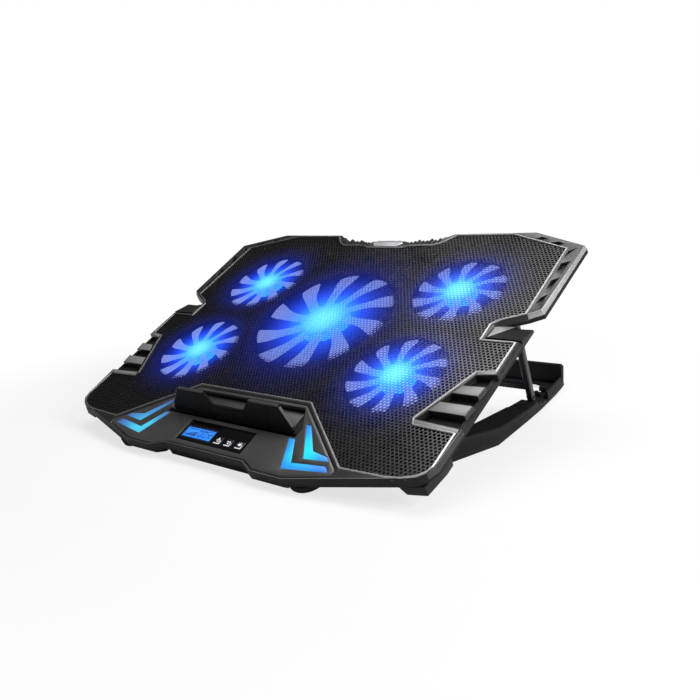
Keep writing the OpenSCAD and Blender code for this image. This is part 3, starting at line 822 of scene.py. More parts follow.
# the inner and the outer chevron of the right light guide
LENSES = [
    [(68.3, -114), (86.3, -142), (106.6, -140), (102.8, -136.8), (89.1, -134.6),
     (72.8, -114.5)],
    [(63.4, -128.2), (75.1, -153.5), (111.2, -148.3), (106.5, -143.9), (79.6, -147.3),
     (68.4, -128.2)]]

# ------------------------------------------------------------------ top frame
# edge profiles: (distance from the outline, height)
FRAME_EDGE = [(2.5, 0.0), (2.3, 0.03), (2.05, -0.02), (1.75, -0.3), (1.5, -0.8), (0.3, -3.3),
              (0.0, -3.9)]
MESH_BEAD = [(1.45, 0.0), (1.35, 0.0), (1.22, 0.24), (1.0, 0.44), (0.66, 0.5), (0.34, 0.4),
             (0.1, 0.1), (0.0, -0.3)]
PANEL_EDGE = [(0.9, 0.0), (0.7, -0.02), (0.3, -0.2), (0.0, -0.6)]


def frame_edge_weight(x, y):
    """Width of the frame's edge profile; finer at the louvre ends and in narrow places."""
    if 140 < abs(x) < 150 or (-95 < y < -45 and abs(x) > 140):
        return 0.26
    if y > 100:
        return 0.5
    return 0.62 if y < -128 else 1.0


def frame_edge_material(start, end, level):
    """The rim material, light grey as a painted highlight, runs round the wings and the front;
    below it the darker material is painted shade.
    """
    if 12 < start[1] < 120 and 12 < end[1] < 120:
        return 2 if level < 5 else 1
    if start[1] < -127 and end[1] < -127:
        return 2 if level < 2 else 1
    return 0


def top_frame():
    part = Shell()
    slots = [side for slot in WING_SLOTS for side in pair(slot)]
    # the mesh bead's lining takes the rim material, a painted highlight
    part.plate(COMB, 0.0, -4.2, holes=[MESH, PANEL] + slots, profile=FRAME_EDGE,
               weights=[frame_edge_weight(x, y) for x, y in COMB],
               hole_profiles=(MESH_BEAD, PANEL_EDGE), hole_materials=(2,),
               edge_material=frame_edge_material, edge=0.35, foot=0.05)
    # lower tier, which is also the floor of the slots between the louvres; it and the pieces
    # after it take the darker material, as painted shade
    part.material = 1
    part.plate(inset(DECK, 0.25), -4.2, -5.0,
               holes=[inset(MESH, -1.2), inset(PANEL, 1.5)] + slots, edge=0.1, foot=0.05)
    part.plate(DECK, -4.75, -7.0, holes=[inset(DECK, 2.2)],
               profile=[(0.45, 0.0), (0.12, -0.1), (0.0, -0.4)], edge=0.1, foot=0.45)
    # sloped outer strips beyond the louvres, in the same darker painted-shade material
    for side, _ in SIDES:
        part.slab([(175.6, -96.6, -2.6), (179.9, -96.4, -3.7), (181.1, -43.4, -3.7),
                   (176.6, -43.2, -2.6)], bottom=-4.6, side=side)
    part.build("deck_frame", "satin_black_plastic", "frame", "painted_shade", "rim",
               replaces="top_frame")


def louvre_pads():
    """Thin raised pads on the bars between the louvre slots, in a lighter grey that paints the
    sheen the bars catch.
    """
    pads = (
        [(149.6, -84.4), (154.1, -75.2), (177.2, -75.1), (175.9, -84.4)],
        [(157.6, -66.4), (162.0, -58.3), (177.6, -57.4), (176.2, -66.4)],
        [(144.2, -97.6), (143.6, -93.6), (178.2, -95.4), (178.4, -99.4)],
        [(166.1, -47.6), (165.2, -43.9), (178.6, -41.6), (179.6, -45.0)])
    for k, pad in enumerate(pads):
        for side, name in SIDES:
            part = Shell()
            part.plate(inset(ccw(on_side(pad, side)), 0.25), 0.35, -0.6, edge=0.3, foot=0.1)
            part.build(f"louvre_{name[0]}{k}", "satin_black_plastic", "louvre")


def notch_facets():
    """Sloped facets that fill the notch in each side of the deck; the valley facets are light
    grey as a painted highlight, the outer facet plain black.
    """
    front, rear = (155.2, -8.8, -0.35), (155.7, 4.3, -1.5)
    rear_low, valley = (159.5, 8.5, -4.2), (166.4, 11.9, -6.7)
    bottom = -6.98
    for side, name in SIDES:
        part = Shell()
        part.slab([front, valley, rear_low], bottom, side)
        part.slab([front, rear_low, rear], bottom, side)
        part.build(f"notch_valley_{name[0]}", "satin_black_plastic", "facet", smooth=8)
        part = Shell()
        part.slab([front, (181.4, -9.3, -0.5), (181.7, 8.0, -4.9), (171.0, 9.2, -6.2), valley],
                  bottom, side)
        part.build(f"notch_facet_{name[0]}", "satin_black_plastic", "shell", smooth=8)


def mesh_sheet():
    limit = inset(MESH, -1.1)
    # strips of the sheet: name, x range
    strips = (("fl", (-190, -60)), ("cl", (-60, 0)), ("cr", (0, 60)), ("fr", (60, 190)))
    for name, x_range in strips:
        part = Shell()
        part.lattice(lambda x, y: inside(limit, x, y), pitch_x=3.155, pitch_y=2.564,
                     opening=0.70, top=-0.55, bottom=-1.35, x_range=x_range,
                     y_range=(-150, 130))
        part.build("mesh_sheet_" + name, "perforated_metal", "mesh",
                   replaces="mesh_panel" if name == "fl" else None, smooth=20, fix=False)


# ------------------------------------------------------------------ control panel
def control_panel():
    part = Shell()
    recess = [(-67.6, -127), (67.6, -127), (67.6, -118), (57, -100.6), (-57, -100.6),
              (-67.6, -118)]
    window = rect(-34.7, 34.7, -150.4, -130.2)
    lens_holes = [inset(ccw(q), -0.15) for lens in LENSES for q in pair(lens)]
    part.plate(inset(PANEL, 0.35), -0.15, -3.4, holes=[recess, window] + lens_holes,
               profile=[(1.5, 0.0), (1.35, -0.03), (0.25, -0.42), (0.0, -0.75)],
               hole_edge=0.35, foot=0.1)
    # tub under the laptop stop, with a raised floor inside, both in the darker material as
    # painted shade
    tub = inset(ccw(recess), -1.2)
    part.material = 1
    part.plate(tub, -4.6, -5.5, edge=0.1, foot=0.1)
    part.plate(tub, -3.35, -4.62, holes=[recess], edge=0.05, foot=0.05)
    part.material = 0
    part.plate([(-56.4, -118.0), (56.4, -118.0), (56.4, -103.4), (55.2, -101.6),
                (-55.2, -101.6), (-56.4, -103.4)], -3.7, -4.7, edge=0.3, foot=0.1)
    # bed of the window, in the darker material as painted shade
    part.material = 1
    part.plate(rect(-35.4, 35.4, -151, -129.6), -3.3, -3.55, edge=0.05, foot=0.05)
    part.build("front_panel", "panel_grey", "panel", "painted_shade", replaces="control_panel")


KEYS = {"left": 6.8, "middle": 17.3, "right": 28.6}     # centre x of each key


def display_window():
    part = Shell()
    holes = [rect(-32.7, -0.7, -147.0, -135.7)]
    holes += [rounded(rect(x - 3.6, x + 3.6, -147.8, -140.0), 0.8) for x in KEYS.values()]
    part.plate(rounded(rect(-34.5, 34.5, -150.2, -130.4), 1.2), -0.45, -2.6, holes=holes,
               edge=0.25, foot=0.1)
    part.build("display_window", "window_black", "window", replaces="lcd_window")


def rotor_mark(part, cx, cy, blade, flat):
    """Three-bladed symbol; blade is a list of (radius, degrees)."""
    for turn in (0, 120, 240):
        part.plate([(cx + r * math.cos(math.radians(turn + a)),
                     cy + r * math.sin(math.radians(turn + a))) for r, a in blade], **flat)


def display_panel():
    part = Shell()
    part.plate(rect(-32.6, -0.8, -146.9, -135.8), -0.75, -1.6,
               holes=[rect(-31.6, -1.8, -145.9, -136.8)], edge=0.12, foot=0.05)
    part.material = 1
    part.plate(rect(-31.7, -1.7, -146.0, -136.7), -1.0, -1.9, edge=0.1, foot=0.05)
    # segments: a row of rising level bars, two zeros, a rotor symbol and a line
    part.material = 2
    flat = dict(top=-0.93, bottom=-1.05, edge=0.02, foot=0.01, steps=1)
    middle_y = -141.4
    for k in range(5):
        x = k * 2.2
        part.plate(rect(-29.6 + x, -28.2 + x, -144.6, -143.2 + k * 0.75), **flat)
    # bars of a zero about its centre: x0, x1, y0, y1
    zero = ((-1.3, 1.3, 2.2, 2.7), (-1.3, 1.3, -2.7, -2.2), (-1.75, -1.3, 0.2, 2.4),
            (1.3, 1.75, 0.2, 2.4), (-1.75, -1.3, -2.4, -0.2), (1.3, 1.75, -2.4, -0.2))
    for cx in (-15.6, -10.8):
        for x0, x1, y0, y1 in zero:
            part.plate(rect(cx + x0, cx + x1, middle_y + y0, middle_y + y1), **flat)
    rotor_mark(part, -5.2, middle_y, ((0.5, 0), (2.4, 10), (2.5, 55), (0.6, 60)), flat)
    part.plate(rect(-30.2, -3.4, -138.3, -137.9), **flat)
    part.build("display_panel", "display_blue", "display_rim", "display", "segment",
               replaces="lcd_screen")


def keys():
    for name, x in KEYS.items():
        part = Shell()
        part.plate(rounded(rect(x - 3.3, x + 3.3, -147.5, -140.3), 0.7), -0.05, -3.4,
                   edge=0.45, foot=0.15, steps=3)
        part.plate(rect(x - 1.2, x + 1.2, -145.1, -142.7), -3.35, -3.9, edge=0.05, foot=0.05)
        # the marks: white with a faint glow
        part.material = 1
        glowing_mark = dict(top=0.02, bottom=-0.12, edge=0.05, foot=0.02, steps=1)
        # an open frame on two sides with a plain mark in it
        part.plate([(x - 2.8, -146.9), (x + 2.8, -146.9), (x + 2.8, -143.6),
                    (x + 2.15, -143.6), (x + 2.15, -146.2), (x - 2.8, -146.2)], **glowing_mark)
        if name == "left":
            part.plate(circle(x, -143.6, 1.5, 20), holes=[circle(x, -143.6, 1.0, 20)], **glowing_mark)
            part.plate(rect(x - 0.26, x + 0.26, -143.5, -141.3), **{**glowing_mark, "top": 0.04})
        elif name == "middle":
            rotor_mark(part, x, -143.6, ((0.35, 0), (1.8, 5), (1.9, 55), (0.5, 70)), glowing_mark)
        else:
            cx, cy = x - 0.2, -143.4
            part.plate(circle(cx, cy, 1.2, 20), **glowing_mark)
            for angle in range(0, 181, 45):
                part.plate(spoke(cx, cy, angle, 1.5, 2.2, 0.2), **{**glowing_mark, "edge": 0.04})
        part.build(f"key_cap_{name}", "key_black", "key", "glowing_mark", body=f"key_{name}_body",
                   replaces=f"key_{name}")


def light_guides():
    for side, name in reversed(SIDES):
        part = Shell()
        for lens in LENSES:
            part.plate(on_side(lens, side), -0.35, -3.3, edge=0.35, foot=0.1)
        part.build(f"light_guide_{name}", "lens_cyan", f"lens_{name}",
                   replaces=f"lens_{name}")


def laptop_stop():
    """Flap hinged across the recess and raised, leaning 17 degrees rearwards."""
    hinge_y, hinge_z = -122.5, -2.7
    lean = math.radians(90 - 17)
    ca, sa = math.cos(lean), math.sin(lean)

    def on_flap(x, height, depth):
        return on_deck(x, hinge_y + height * ca - depth * sa, hinge_z + height * sa + depth * ca)

    part = Shell(on_flap)
    right = [(61.2, 0), (64.0, 3.6), (53.2, 20.6), (24.2, 20.6), (16.2, 11.4)]
    part.plate([(-61.2, 0)] + right + mirror(right[1:]), 1.3, -0.85, edge=0.45, foot=0.4)
    # lip along the upper edges, in a lighter grey as a painted highlight on the top edges
    part.material = 1
    for lip in ([(24.8, 19.7), (52.8, 19.7), (52.4, 21.0), (24.6, 21.0)],
                [(53.6, 19.2), (62.2, 5.4), (63.0, 5.9), (54.4, 19.7)]):
        part.both(lip, 1.5, -0.9, edge=0.25, foot=0.25)
    # low step and ribs below the notch
    part.material = 0
    part.plate([(-21, 5.2), (21, 5.2), (17, 10.2), (-17, 10.2)], 1.9, 1.2, edge=0.3,
               foot=0.05)
    for k in range(-3, 4):
        part.plate(rect(k * 4.2 - 1.3, k * 4.2 + 1.3, 10.4, 11.5), 1.75, 1.2, edge=0.2,
                   foot=0.05)
    part.rod(-61.1, 61.1, y=0, radius=1.7)
    part.build("laptop_stop_flap", "black_plastic", "stop", "lip", body="stop",
               replaces="laptop_stop")


# ------------------------------------------------------------------ badge and rear ribs
def badge():
    tip, shoulder = 17.0, 12.5
    hexagon = [(-tip, 106.8), (-shoulder, 102.6), (shoulder, 102.6), (tip, 106.8),
               (shoulder, 111), (-shoulder, 111)]
    part = Shell()
    part.plate(hexagon, 0.8, 0.0, edge=0.5, foot=0.05,
               pockets=[(inset(ccw(hexagon), 1.3), 0.25)], hole_edge=0.15)
    part.build("badge_blank", "badge_silver", "badge", replaces="badge_plate")


def rear_ribs():
    # centre x, front y, rear y
    ribs = ((21.6, 103.9, 108.8), (25.2, 104.4, 109.2), (28.8, 104.9, 110.4),
            (32.2, 105.3, 112.2), (36.6, 105.5, 111.0), (40.6, 105.9, 111.2),
            (44.2, 106.3, 113.8), (48.6, 106.9, 112.2), (52.4, 108.4, 114.6))
    part = Shell()
    for side, _ in SIDES:
        for x, front, rear in ribs:
            outline = ccw(on_side(rect(x - 1.0, x + 1.0, front, rear), side))
            part.plate(rounded(outline, 0.7, steps=2), 0.9, -0.3, edge=0.45, foot=0.05)
    part.build("rear_ribs", "satin_black_plastic", "shell")


# ------------------------------------------------------------------ fans
BLADES = 10
# stations from hub (0) to tip (1), closer where the tip corners are rounded
BLADE_STATIONS = [0, 0.08, 0.16, 0.25, 0.35, 0.45, 0.55, 0.65, 0.75, 0.85, 0.92, 0.95, 0.97,
                  0.985, 0.995, 1.0]
CHORD_STEPS = 6


def blade_half_angle(t):
    """Half the angle a blade covers at station t, in degrees."""
    half = 8.7 + 3.2 * (1 - t) ** 3 - 1.6 * math.sin(math.radians(180 * min(1, t / 0.75)))
    if t > 0.95:
        half -= 2.0 * (1 - math.sqrt(max(0.0, 1 - ((t - 0.95) / 0.05) ** 2)))
    return half


def add_blade(part, fan, start, reach):
    """One pitched and cambered blade, thin at both edges; start is its angle in degrees."""
    fx, fy, radius, hub = fan
    upper, lower = [], []
    for t in BLADE_STATIONS:
        middle, half = 4.5 - 11.5 * t, blade_half_angle(t)
        lead, trail = middle - half, middle + half
        row_up, row_low = [], []
        for j in range(CHORD_STEPS + 1):
            s = j / CHORD_STEPS
            r = (hub - 0.6 + (radius - hub + 0.6) * t) * (1 - 0.02 * t ** 6 * s)
            angle = math.radians(start + lead + (trail - lead) * s)
            x, y = fx + r * math.cos(angle), fy + r * math.sin(angle)
            bow = math.sin(math.pi * s)
            z = BLADE_Z + (0.5 - s) * 0.7 + 0.2 * bow
            thickness = 0.10 + 0.24 * bow * (1 - 0.35 * t)
            row_up.append((x, y, z + thickness))
            row_low.append((x, y, z - thickness))
        upper.append(part.add(row_up))
        lower.append(part.add(row_low))
        reach += [(hub + (radius - hub) * t) / radius] * (2 * (CHORD_STEPS + 1))
    last, end = len(BLADE_STATIONS) - 1, CHORD_STEPS
    for i in range(last):
        up, up_next, low, low_next = upper[i], upper[i + 1], lower[i], lower[i + 1]
        for j in range(end):
            part.face((up[j], up_next[j], up_next[j + 1], up[j + 1]))
            part.face((low[j], low[j + 1], low_next[j + 1], low_next[j]))
        part.face((up[0], low[0], low_next[0], up_next[0]))
        part.face((up[end], up_next[end], low_next[end], low[end]))
    for j in range(end):
        part.face((upper[0][j], upper[0][j + 1], lower[0][j + 1], lower[0][j]))
        part.face((upper[last][j], lower[last][j], lower[last][j + 1], upper[last][j + 1]))


def rotor(key):
    fx, fy, radius, hub = FANS[key]
    part = Shell()
    reach = []      # share of the radius on the blades, negative on the hub
    for blade in range(BLADES):
        add_blade(part, FANS[key], blade * 360 / BLADES, reach)
    hub_start = len(part.points)
    part.lathe(fx, fy, [
        (0, -2.8), (hub * 0.2, -2.8), (hub * 0.35, -2.8), (hub * 0.4, -2.95),
        (hub * 0.65, -2.95), (hub - 1.4, -2.95), (hub - 0.5, -3.15), (hub, -3.7),
        (hub, -10.2), (hub - 0.2, -10.4), (hub - 1.5, -10.4), (hub - 1.6, -10.2),
        (hub - 1.6, -5.6), (1.2, -5.6), (1.06, -5.4), (1.06, -4.7), (0, -4.6)])
    reach += [-math.hypot(x - fx, y - fy) / radius for x, y in part.plan[hub_start:]]
    ob = part.build(f"rotor_{key}_blades", "rotor_white", "rotor", body=f"rotor_{key}",
                    replaces=f"fan_rotor_{key}", smooth=40, fix=False)
    attribute = ob.data.attributes.new("reach", "FLOAT", "POINT")
    attribute.data.foreach_set("value", reach)
    face_outwards(ob.data, dissolve=False)


def fan_guard(key):
    """Guard under a fan: hexagonal lattice, rim, rings, spokes and motor cup."""
    fx, fy, radius, hub = FANS[key]
    blade_length = radius - hub
    part = Shell()

    def hoop(outer, inner, segments, top, bottom, edge, foot):
        part.plate(circle(fx, fy, outer, segments), top, bottom,
                   holes=[circle(fx, fy, inner, segments)], edge=edge, foot=foot)

    span = radius + 5
    part.lattice(lambda x, y: hub + 1.5 < math.hypot(x - fx, y - fy) < radius + 0.2,
                 pitch_x=4.4, pitch_y=3.7, opening=0.56, top=-9.3, bottom=-12.35,
                 x_range=(fx - span, fx + span), y_range=(fy - span, fy + span))
    hoop(radius + 3.0, radius + 0.6, 96, -11.0, -12.5, edge=0.2, foot=0.2)
    hoop(radius + 2.9, radius + 1.6, 96, -3.2, -11.1, edge=0.3, foot=0.1)
    inner_ring, outer_ring = hub + blade_length * 0.45, hub + blade_length * 0.75
    for outer, inner, top in ((radius + 0.7, radius - 0.9, -9.0),
                              (inner_ring + 0.9, inner_ring - 0.9, -9.05),
                              (outer_ring + 0.9, outer_ring - 0.9, -9.05),
                              (hub + 1.6, hub - 3.0, -10.9)):
        hoop(outer, inner, 72, top, -12.5, edge=0.25, foot=0.25)
    for angle in (45, 135, 225, 315):
        part.plate(spoke(fx, fy, angle, hub - 1, radius + 1.0, 1.6), -10.95, -12.45,
                   edge=0.25, foot=0.25)
    part.lathe(fx, fy, [
        (0, -12.5), (hub - 0.6, -12.5), (hub - 0.4, -12.3), (hub - 0.4, -11.0),
        (hub - 2.6, -11.0), (hub - 2.7, -10.9), (hub - 2.7, -6.0), (1.0, -6.0),
        (1.0, -4.9), (0, -4.8)])
    part.build(f"fan_guard_{key}", "black_plastic", "fan_base",
               replaces=f"fan_base_{key}", smooth=30)


# ------------------------------------------------------------------ stand, in the level frame
RAIL_TOP = 15.6
RAIL_FOLD = -40     # y behind which the rails' top falls
RAIL_FALL = math.tan(math.radians(3.2))
BASE_Z = 4.1        # lower face of the pieces set on the low floor


def rail_top(y):
    return RAIL_TOP if y < RAIL_FOLD else RAIL_TOP - (y - RAIL_FOLD) * RAIL_FALL


def add_rail(part, outline):
    outline = ccw(outline)
    points = []
    for i, (x, y) in enumerate(outline):
        next_x, next_y = outline[(i + 1) % len(outline)]
        points.append((x, y))
        # an extra point where the edge crosses the fold
        if (y - RAIL_FOLD) * (next_y - RAIL_FOLD) < 0:
            t = (RAIL_FOLD - y) / (next_y - y)
            points.append((x + (next_x - x) * t, RAIL_FOLD))
    profile = [(1.1, 0.0), (0.75, -0.08), (0.2, -0.5), (0, -1.1)]
    rings = [part.add([(x, y, rail_top(y) + dz) for x, y in inset(points, d)])
             for d, dz in profile]
    rings.append(part.ring(points, 4.0))
    part.walls(rings)
    part.cap(rings[0])
    part.cap(rings[-1])


def stand_frame():
    part = Shell(on_floor)
    # low floor with an open centre
    right = [(119, -94.5), (131.5, -94.5), (131.5, -105), (134.6, -105), (150, -50),
             (162, -4), (156.6, 50), (152.8, 84), (147.2, 120), (143.0, 142),
             (140.9, STAND_REAR)]
    opening = [(120.4, -88), (131.6, -50), (140.6, -4), (138.6, 50), (134, 126), (128, 138),
               (118, 143.6)]
    part.plate([(-119, -94.5)] + right + mirror(right[1:]), 4.2, 1.5,
               holes=[opening + mirror(opening)], edge=0.5, foot=0.4)
    rail = [(131.5, -105), (134.6, -105), (150, -50), (162, -4), (156.6, 50), (138.6, 50),
            (140.6, -4), (131.6, -50), (119, -92), (119, -94.5), (131.5, -94.5)]
    for outline in pair(rail):
        add_rail(part, outline)
    # three steps down behind the rails
    part.both([(156.6, 49.9), (155.4, 62), (154.2, 72), (140, 72), (140, 49.9)], 10.6, BASE_Z,
              edge=0.6)
    part.both([(154.2, 71.9), (153.0, 82), (141, 82), (141, 71.9)], 8.3, BASE_Z, edge=0.6)
    part.both([(153.0, 81.9), (151.6, 92), (141, 92), (141, 81.9)], 6.4, BASE_Z, edge=0.6)
    # rear rails with sloped flanks
    part.both([(150.3, 100), (147.1, 120), (143.0, 141.9), (141.0, 151.0), (135.6, 151.0),
               (138.0, 141), (141.9, 120), (145.4, 100)], 10.2, BASE_Z, foot=0.1,
              profile=[(1.9, 0.0), (1.5, -0.2), (0.3, -5.0), (0.0, -5.6)])
    # two small stepped blocks on each side, inside the rear rails
    for y in (104.0, 119.0):
        x = 140.2 - (y - 104) * 0.14
        part.both([(x - 5.4, y), (x, y - 0.8), (x + 0.3, y + 1.5), (x - 2.9, y + 2.2),
                   (x - 2.9, y + 4.2), (x - 5.4, y + 4.2)], 8.0, BASE_Z, edge=0.5)
    part.build("stand_frame", "stand_grey", "stand", body="stand", replaces="stand_base")


def stand_rear_wall():
    """Upright wall with its upper corners cut off, drawn in x and height."""
    part = Shell(lambda x, z, y: on_floor(x, y, z))
    part.plate([(-140.8, 4.05), (140.8, 4.05), (140.8, 19.0), (138.9, 21.0), (-138.9, 21.0),
                (-140.8, 19.0)], STAND_REAR, 147.0, edge=0.6, foot=0.6)
    part.build("stand_rear_wall", "stand_grey", "stand", body="stand")


def stand_knuckles():
    """Knuckles round the hinge pins, drawn in y and height."""
    pin_z = 8
    pin_drop = 20.5     # depth of the pin below the deck's top face
    pin_y = ((pin_z - DECK_HEIGHT + pin_drop * COS) / SIN) * COS + pin_drop * SIN
    radius, steps = 5, 28
    outline = []
    for k in range(steps + 1):
        a = math.radians(90 + 180 * k / steps)
        outline.append((pin_y + radius * math.cos(a), pin_z + radius * math.sin(a)))
    outline += [(-92, pin_z - radius), (-92, pin_z + radius)]
    hole = circle(pin_y, pin_z, 2.06, 24)
    for (_, name), (x0, x1) in zip(SIDES, ((118, 126), (-126, -118))):
        part = Shell(lambda y, z, x: on_floor(x, y, z))
        part.plate(outline, x1, x0, holes=[hole], edge=0.35, foot=0.35)
        part.build(f"stand_knuckle_{name[0]}", "stand_grey", "stand", body="stand")


def stand_rubber():
    part = Shell(on_floor)
    part.both([(134, -94), (148.6, -49), (160.4, -4), (155.0, 52), (151.4, 84), (146.0, 119),
               (141.6, 141), (136.4, 139.6), (139.8, 117), (144.9, 84), (148.8, 50),
               (154, -4), (142.6, -47), (129.6, -94)], 1.5, 0.0, edge=0.2, foot=0.35)
    part.build("stand_rubber", "rubber_black", "rubber", body="stand", replaces="stand_strips")


def prop():
    """Two arms and a crossbar, from pivots under the deck down and back to the stand."""
    pivot_y, pivot_z = 36.5, -10.0
    length, half_thick = 84.0, 2.5
    foot_z = 13.5
    world_y = Y_SHIFT + pivot_y * COS - pivot_z * SIN
    world_z = DECK_HEIGHT + pivot_y * SIN + pivot_z * COS
    dip = math.asin((world_z - foot_z) / length)
    cd, sd = math.cos(dip), math.sin(dip)

    def on_prop(x, along, up):
        return (x * MM, (world_y + along * cd + up * sd) * MM,
                (world_z - along * sd + up * cd) * MM)

    part = Shell(on_prop)
    arm = [(149, 2.2), (154, 2.2), (154, 8), (151.6, length - 2.0), (146.6, length - 2.0),
           (148.8, 8)]
    bracket = [(147.4, 8), (149, 8), (149, 30), (145.4, 46), (143.4, 46)]
    for side, _ in SIDES:
        part.plate(on_side(arm, side), half_thick, -half_thick, edge=0.7, foot=0.7, steps=3)
        part.rod(side * 149, side * 154, y=0, radius=half_thick, bevel=0.4)
        part.rod(side * 146.6, side * 151.6, y=length, radius=half_thick, bevel=0.5)
        for block in (rect(149, 154, -0.2, 3.2),
                      rect(146.6, 151.6, length - 3.2, length + 0.2)):
            part.plate(on_side(block, side), 2.45, -2.45, edge=0.3, foot=0.3)
        part.plate(on_side(bracket, side), 1.7, -1.7, edge=0.3, foot=0.3)
    part.plate(rect(-147.2, 147.2, 69, 75.4), 1.7, -1.7, edge=0.5, foot=0.5,
               pockets=[(rect(-140, -4, 70.6, 73.8), 0.8), (rect(4, 140, 70.6, 73.8), 0.8)])
    part.build("prop_arms", "black_plastic", "prop", body="prop", replaces="prop_frame")


# ------------------------------------------------------------------ front lip, corner feet
def front_lip():
    part = Shell()
    part.plate([(-50, -156.9), (-40.5, -155.9), (40.5, -155.9), (50, -156.9), (50, -151.5),
                (-50, -151.5)], -6.6, -9.7, edge=0.2, foot=0.9)
    part.both([(46.2, -152), (46.6, -156.2), (54.8, -159.7), (70, -159.9), (73.5, -156),
               (73, -150.4), (60, -149.4)], -8.2, -12.3, edge=0.2, foot=1.3)
    part.build("front_lip", "black_plastic", "shell")


def corner_feet():
    """Tapered blocks under the front corners, each with a pocket in its underside."""
    lower = [(161.8, -141.0), (168.5, -139.8), (175.2, -138.4), (178.6, -120.0),
             (178.8, -112.6), (171.4, -112.6), (161.0, -122.5)]
    upper = [(158.5, -141.6), (165.5, -140.3), (174.4, -137.4), (178.9, -124.0),
             (179.0, -112), (171, -112), (158.5, -124)]
    pocket = [(163, -134), (170, -131), (172, -120), (163, -126)]
    for side, name in SIDES:
        low, high, hollow = [ccw(on_side(q, side)) for q in (lower, upper, pocket)]
        part = Shell()
        body = [part.ring(high, -7.02), part.ring(low, -13.1),
                part.ring(inset(low, 0.3), -13.65), part.ring(inset(low, 0.9), -13.8)]
        part.walls(body)
        part.cap(body[0])
        well = [part.ring(inset(hollow, -0.2), -13.8), part.ring(hollow, -13.6),
                part.ring(hollow, -12.6)]
        part.walls(well)
        part.cap(well[-1])
        part.cap(body[-1], well[0])
        part.build(f"corner_foot_{name}", "black_plastic", "shell",
                   replaces=f"corner_block_{name}")


top_frame()
louvre_pads()
notch_facets()
mesh_sheet()
control_panel()
display_window()
display_panel()
keys()
light_guides()
laptop_stop()
badge()
rear_ribs()
for fan_key in FANS:
    rotor(fan_key)
for fan_key in FANS:
    fan_guard(fan_key)
stand_frame()
stand_rear_wall()
stand_knuckles()
stand_rubber()
prop()
front_lip()
corner_feet()

# ------------------------------------------------------------------ CAD pieces that stay
CAD_MATERIALS = {
    "front_pads": "rubber", "bottom_shell": "belly", "stop_pin": "pin", "fan_leds": "led",
    "control_board": "board", "usb_board": "board", "usb_socket_a": "socket",
    "usb_socket_b": "socket", "wire_harness": "wire", "deck_screws": "screw",
    "prop_pins": "steel", "base_pins": "steel"}
for node_name, material_key in CAD_MATERIALS.items():
    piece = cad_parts[node_name]
    piece.data.materials.clear()
    piece.data.materials.append(MATERIALS[material_key])
    piece.data.polygons.foreach_set("material_index", [0] * len(piece.data.polygons))


# ------------------------------------------------------------------ floor, lights, camera (m)
def floor_material():
    """Pale floor that the camera sees mostly as white, wholly so further out."""
    surface = Surface("floor_pale")
    cloud = surface.remap(surface.noise(surface.position, scale=3.0, detail=2.0))
    surface.set("Base Color", surface.mix(cloud, (0.90, 0.90, 0.90), (0.93, 0.93, 0.93)))
    surface.set("Roughness", 0.7)
    surface.set("Specular IOR Level", 0.2)
    white = surface.new("ShaderNodeEmission")
    white.inputs["Color"].default_value = (1, 1, 1, 1)
    white.inputs["Strength"].default_value = 1.02
    camera_ray = surface.new("ShaderNodeLightPath").outputs["Is Camera Ray"]
    blend = surface.new("ShaderNodeMixShader")
    from_centre = surface.vector("LENGTH", surface.position, output=1)
    whiteness = surface.remap(from_centre, span=(0.25, 0.55), to=(0.72, 1.0), smooth=True)
    surface.put(blend.inputs[0], surface.math("MULTIPLY", camera_ray, whiteness))
    surface.put(blend.inputs[1], surface.shader.outputs[0])
    surface.put(blend.inputs[2], white.outputs[0])
    surface.put(surface.output.inputs[0], blend.outputs[0])
    return surface.material


def add_floor():
    half, z = 6, -0.00006
    mesh = bpy.data.meshes.new("floor")
    corners = [(x, y, z) for x, y in rect(-half, half, -half, half)]
    mesh.from_pydata(corners, [], [(0, 1, 2, 3)])
    floor = bpy.data.objects.new("floor", mesh)
    scene.collection.objects.link(floor)
    mesh.materials.append(floor_material())


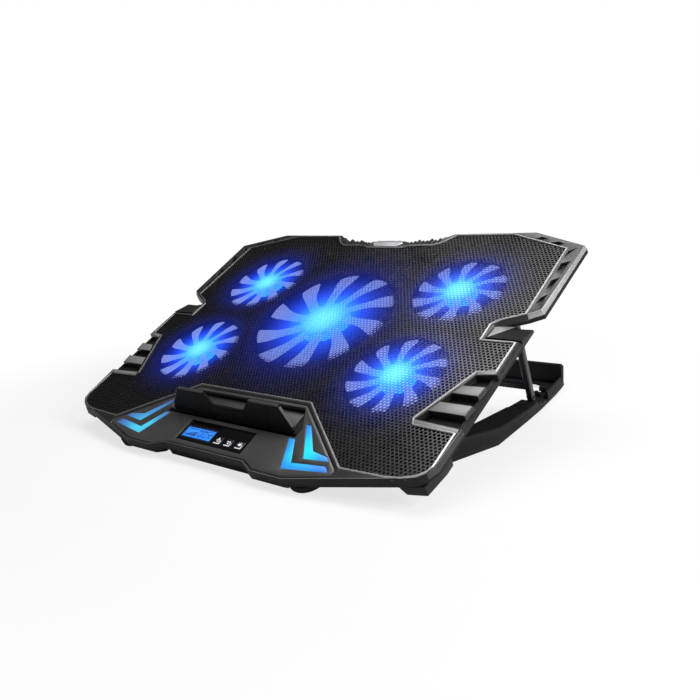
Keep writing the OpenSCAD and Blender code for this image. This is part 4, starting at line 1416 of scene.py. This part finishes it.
def add_world():
    """White to the camera, a faint cool fill to everything else."""
    world = bpy.data.worlds.new("studio")
    scene.world = world
    world.use_nodes = True
    nodes = Nodes(world.node_tree)
    nodes.nodes.clear()
    output = nodes.new("ShaderNodeOutputWorld")
    blend = nodes.new("ShaderNodeMixShader")
    camera_ray = nodes.new("ShaderNodeLightPath").outputs["Is Camera Ray"]
    nodes.put(blend.inputs[0], camera_ray)
    looks = (((0.95, 0.97, 1.0, 1), 0.09), ((1, 1, 1, 1), 1.0))     # colour, strength
    for i, (colour, strength) in enumerate(looks, 1):
        background = nodes.new("ShaderNodeBackground")
        background.inputs["Color"].default_value = colour
        background.inputs["Strength"].default_value = strength
        nodes.put(blend.inputs[i], background.outputs[0])
    nodes.put(output.inputs[0], blend.outputs[0])


def area_light(name, location, target, size, power, size_y=None):
    light = bpy.data.lights.new(name, "AREA")
    light.energy, light.size = power, size
    if size_y:
        light.shape, light.size_y = "RECTANGLE", size_y
    ob = bpy.data.objects.new(name, light)
    scene.collection.objects.link(ob)
    ob.location = location
    ob.rotation_mode = "QUATERNION"
    ob.rotation_quaternion = (Vector(target) - Vector(location)).to_track_quat("-Z", "Y")


def add_camera():
    camera = bpy.data.cameras.new("photo_camera")
    ob = bpy.data.objects.new("photo_camera", camera)
    scene.collection.objects.link(ob)
    scene.camera = ob
    camera.sensor_fit = "HORIZONTAL"
    camera.sensor_width = 36.0
    camera.lens = 39.07851429
    camera.clip_start, camera.clip_end = 0.02, 30
    # the view's right and down, given in the deck frame and made square to each other
    right = Vector(deck_vector(0.7769, 0.5262, -0.3457)).normalized()
    down = Vector(deck_vector(0.0852, -0.6319, -0.7703))
    down = (down - right * down.dot(right)).normalized()
    forward = right.cross(down).normalized()
    pose = Matrix((right, -down, -forward)).transposed().to_4x4()
    pose.translation = Vector(on_deck(407.7, -359.5, 303.9))
    ob.matrix_world = pose


add_floor()
add_world()
area_light("key_light", location=(1.35, 0.15, 0.75), target=(0.1, 0, 0.05), size=0.7, power=20)
area_light("top_light", location=(-0.12, 0.42, 1.5), target=(0.02, 0, 0.06), size=1.3,
           power=13.5, size_y=0.8)
area_light("fill_light", location=(-1.2, -1.1, 0.8), target=(0, 0, 0.06), size=1.2, power=1.2)
add_camera()

scene.view_settings.view_transform = "Standard"
scene.view_settings.look = "None"
scene.view_settings.exposure = 0.0
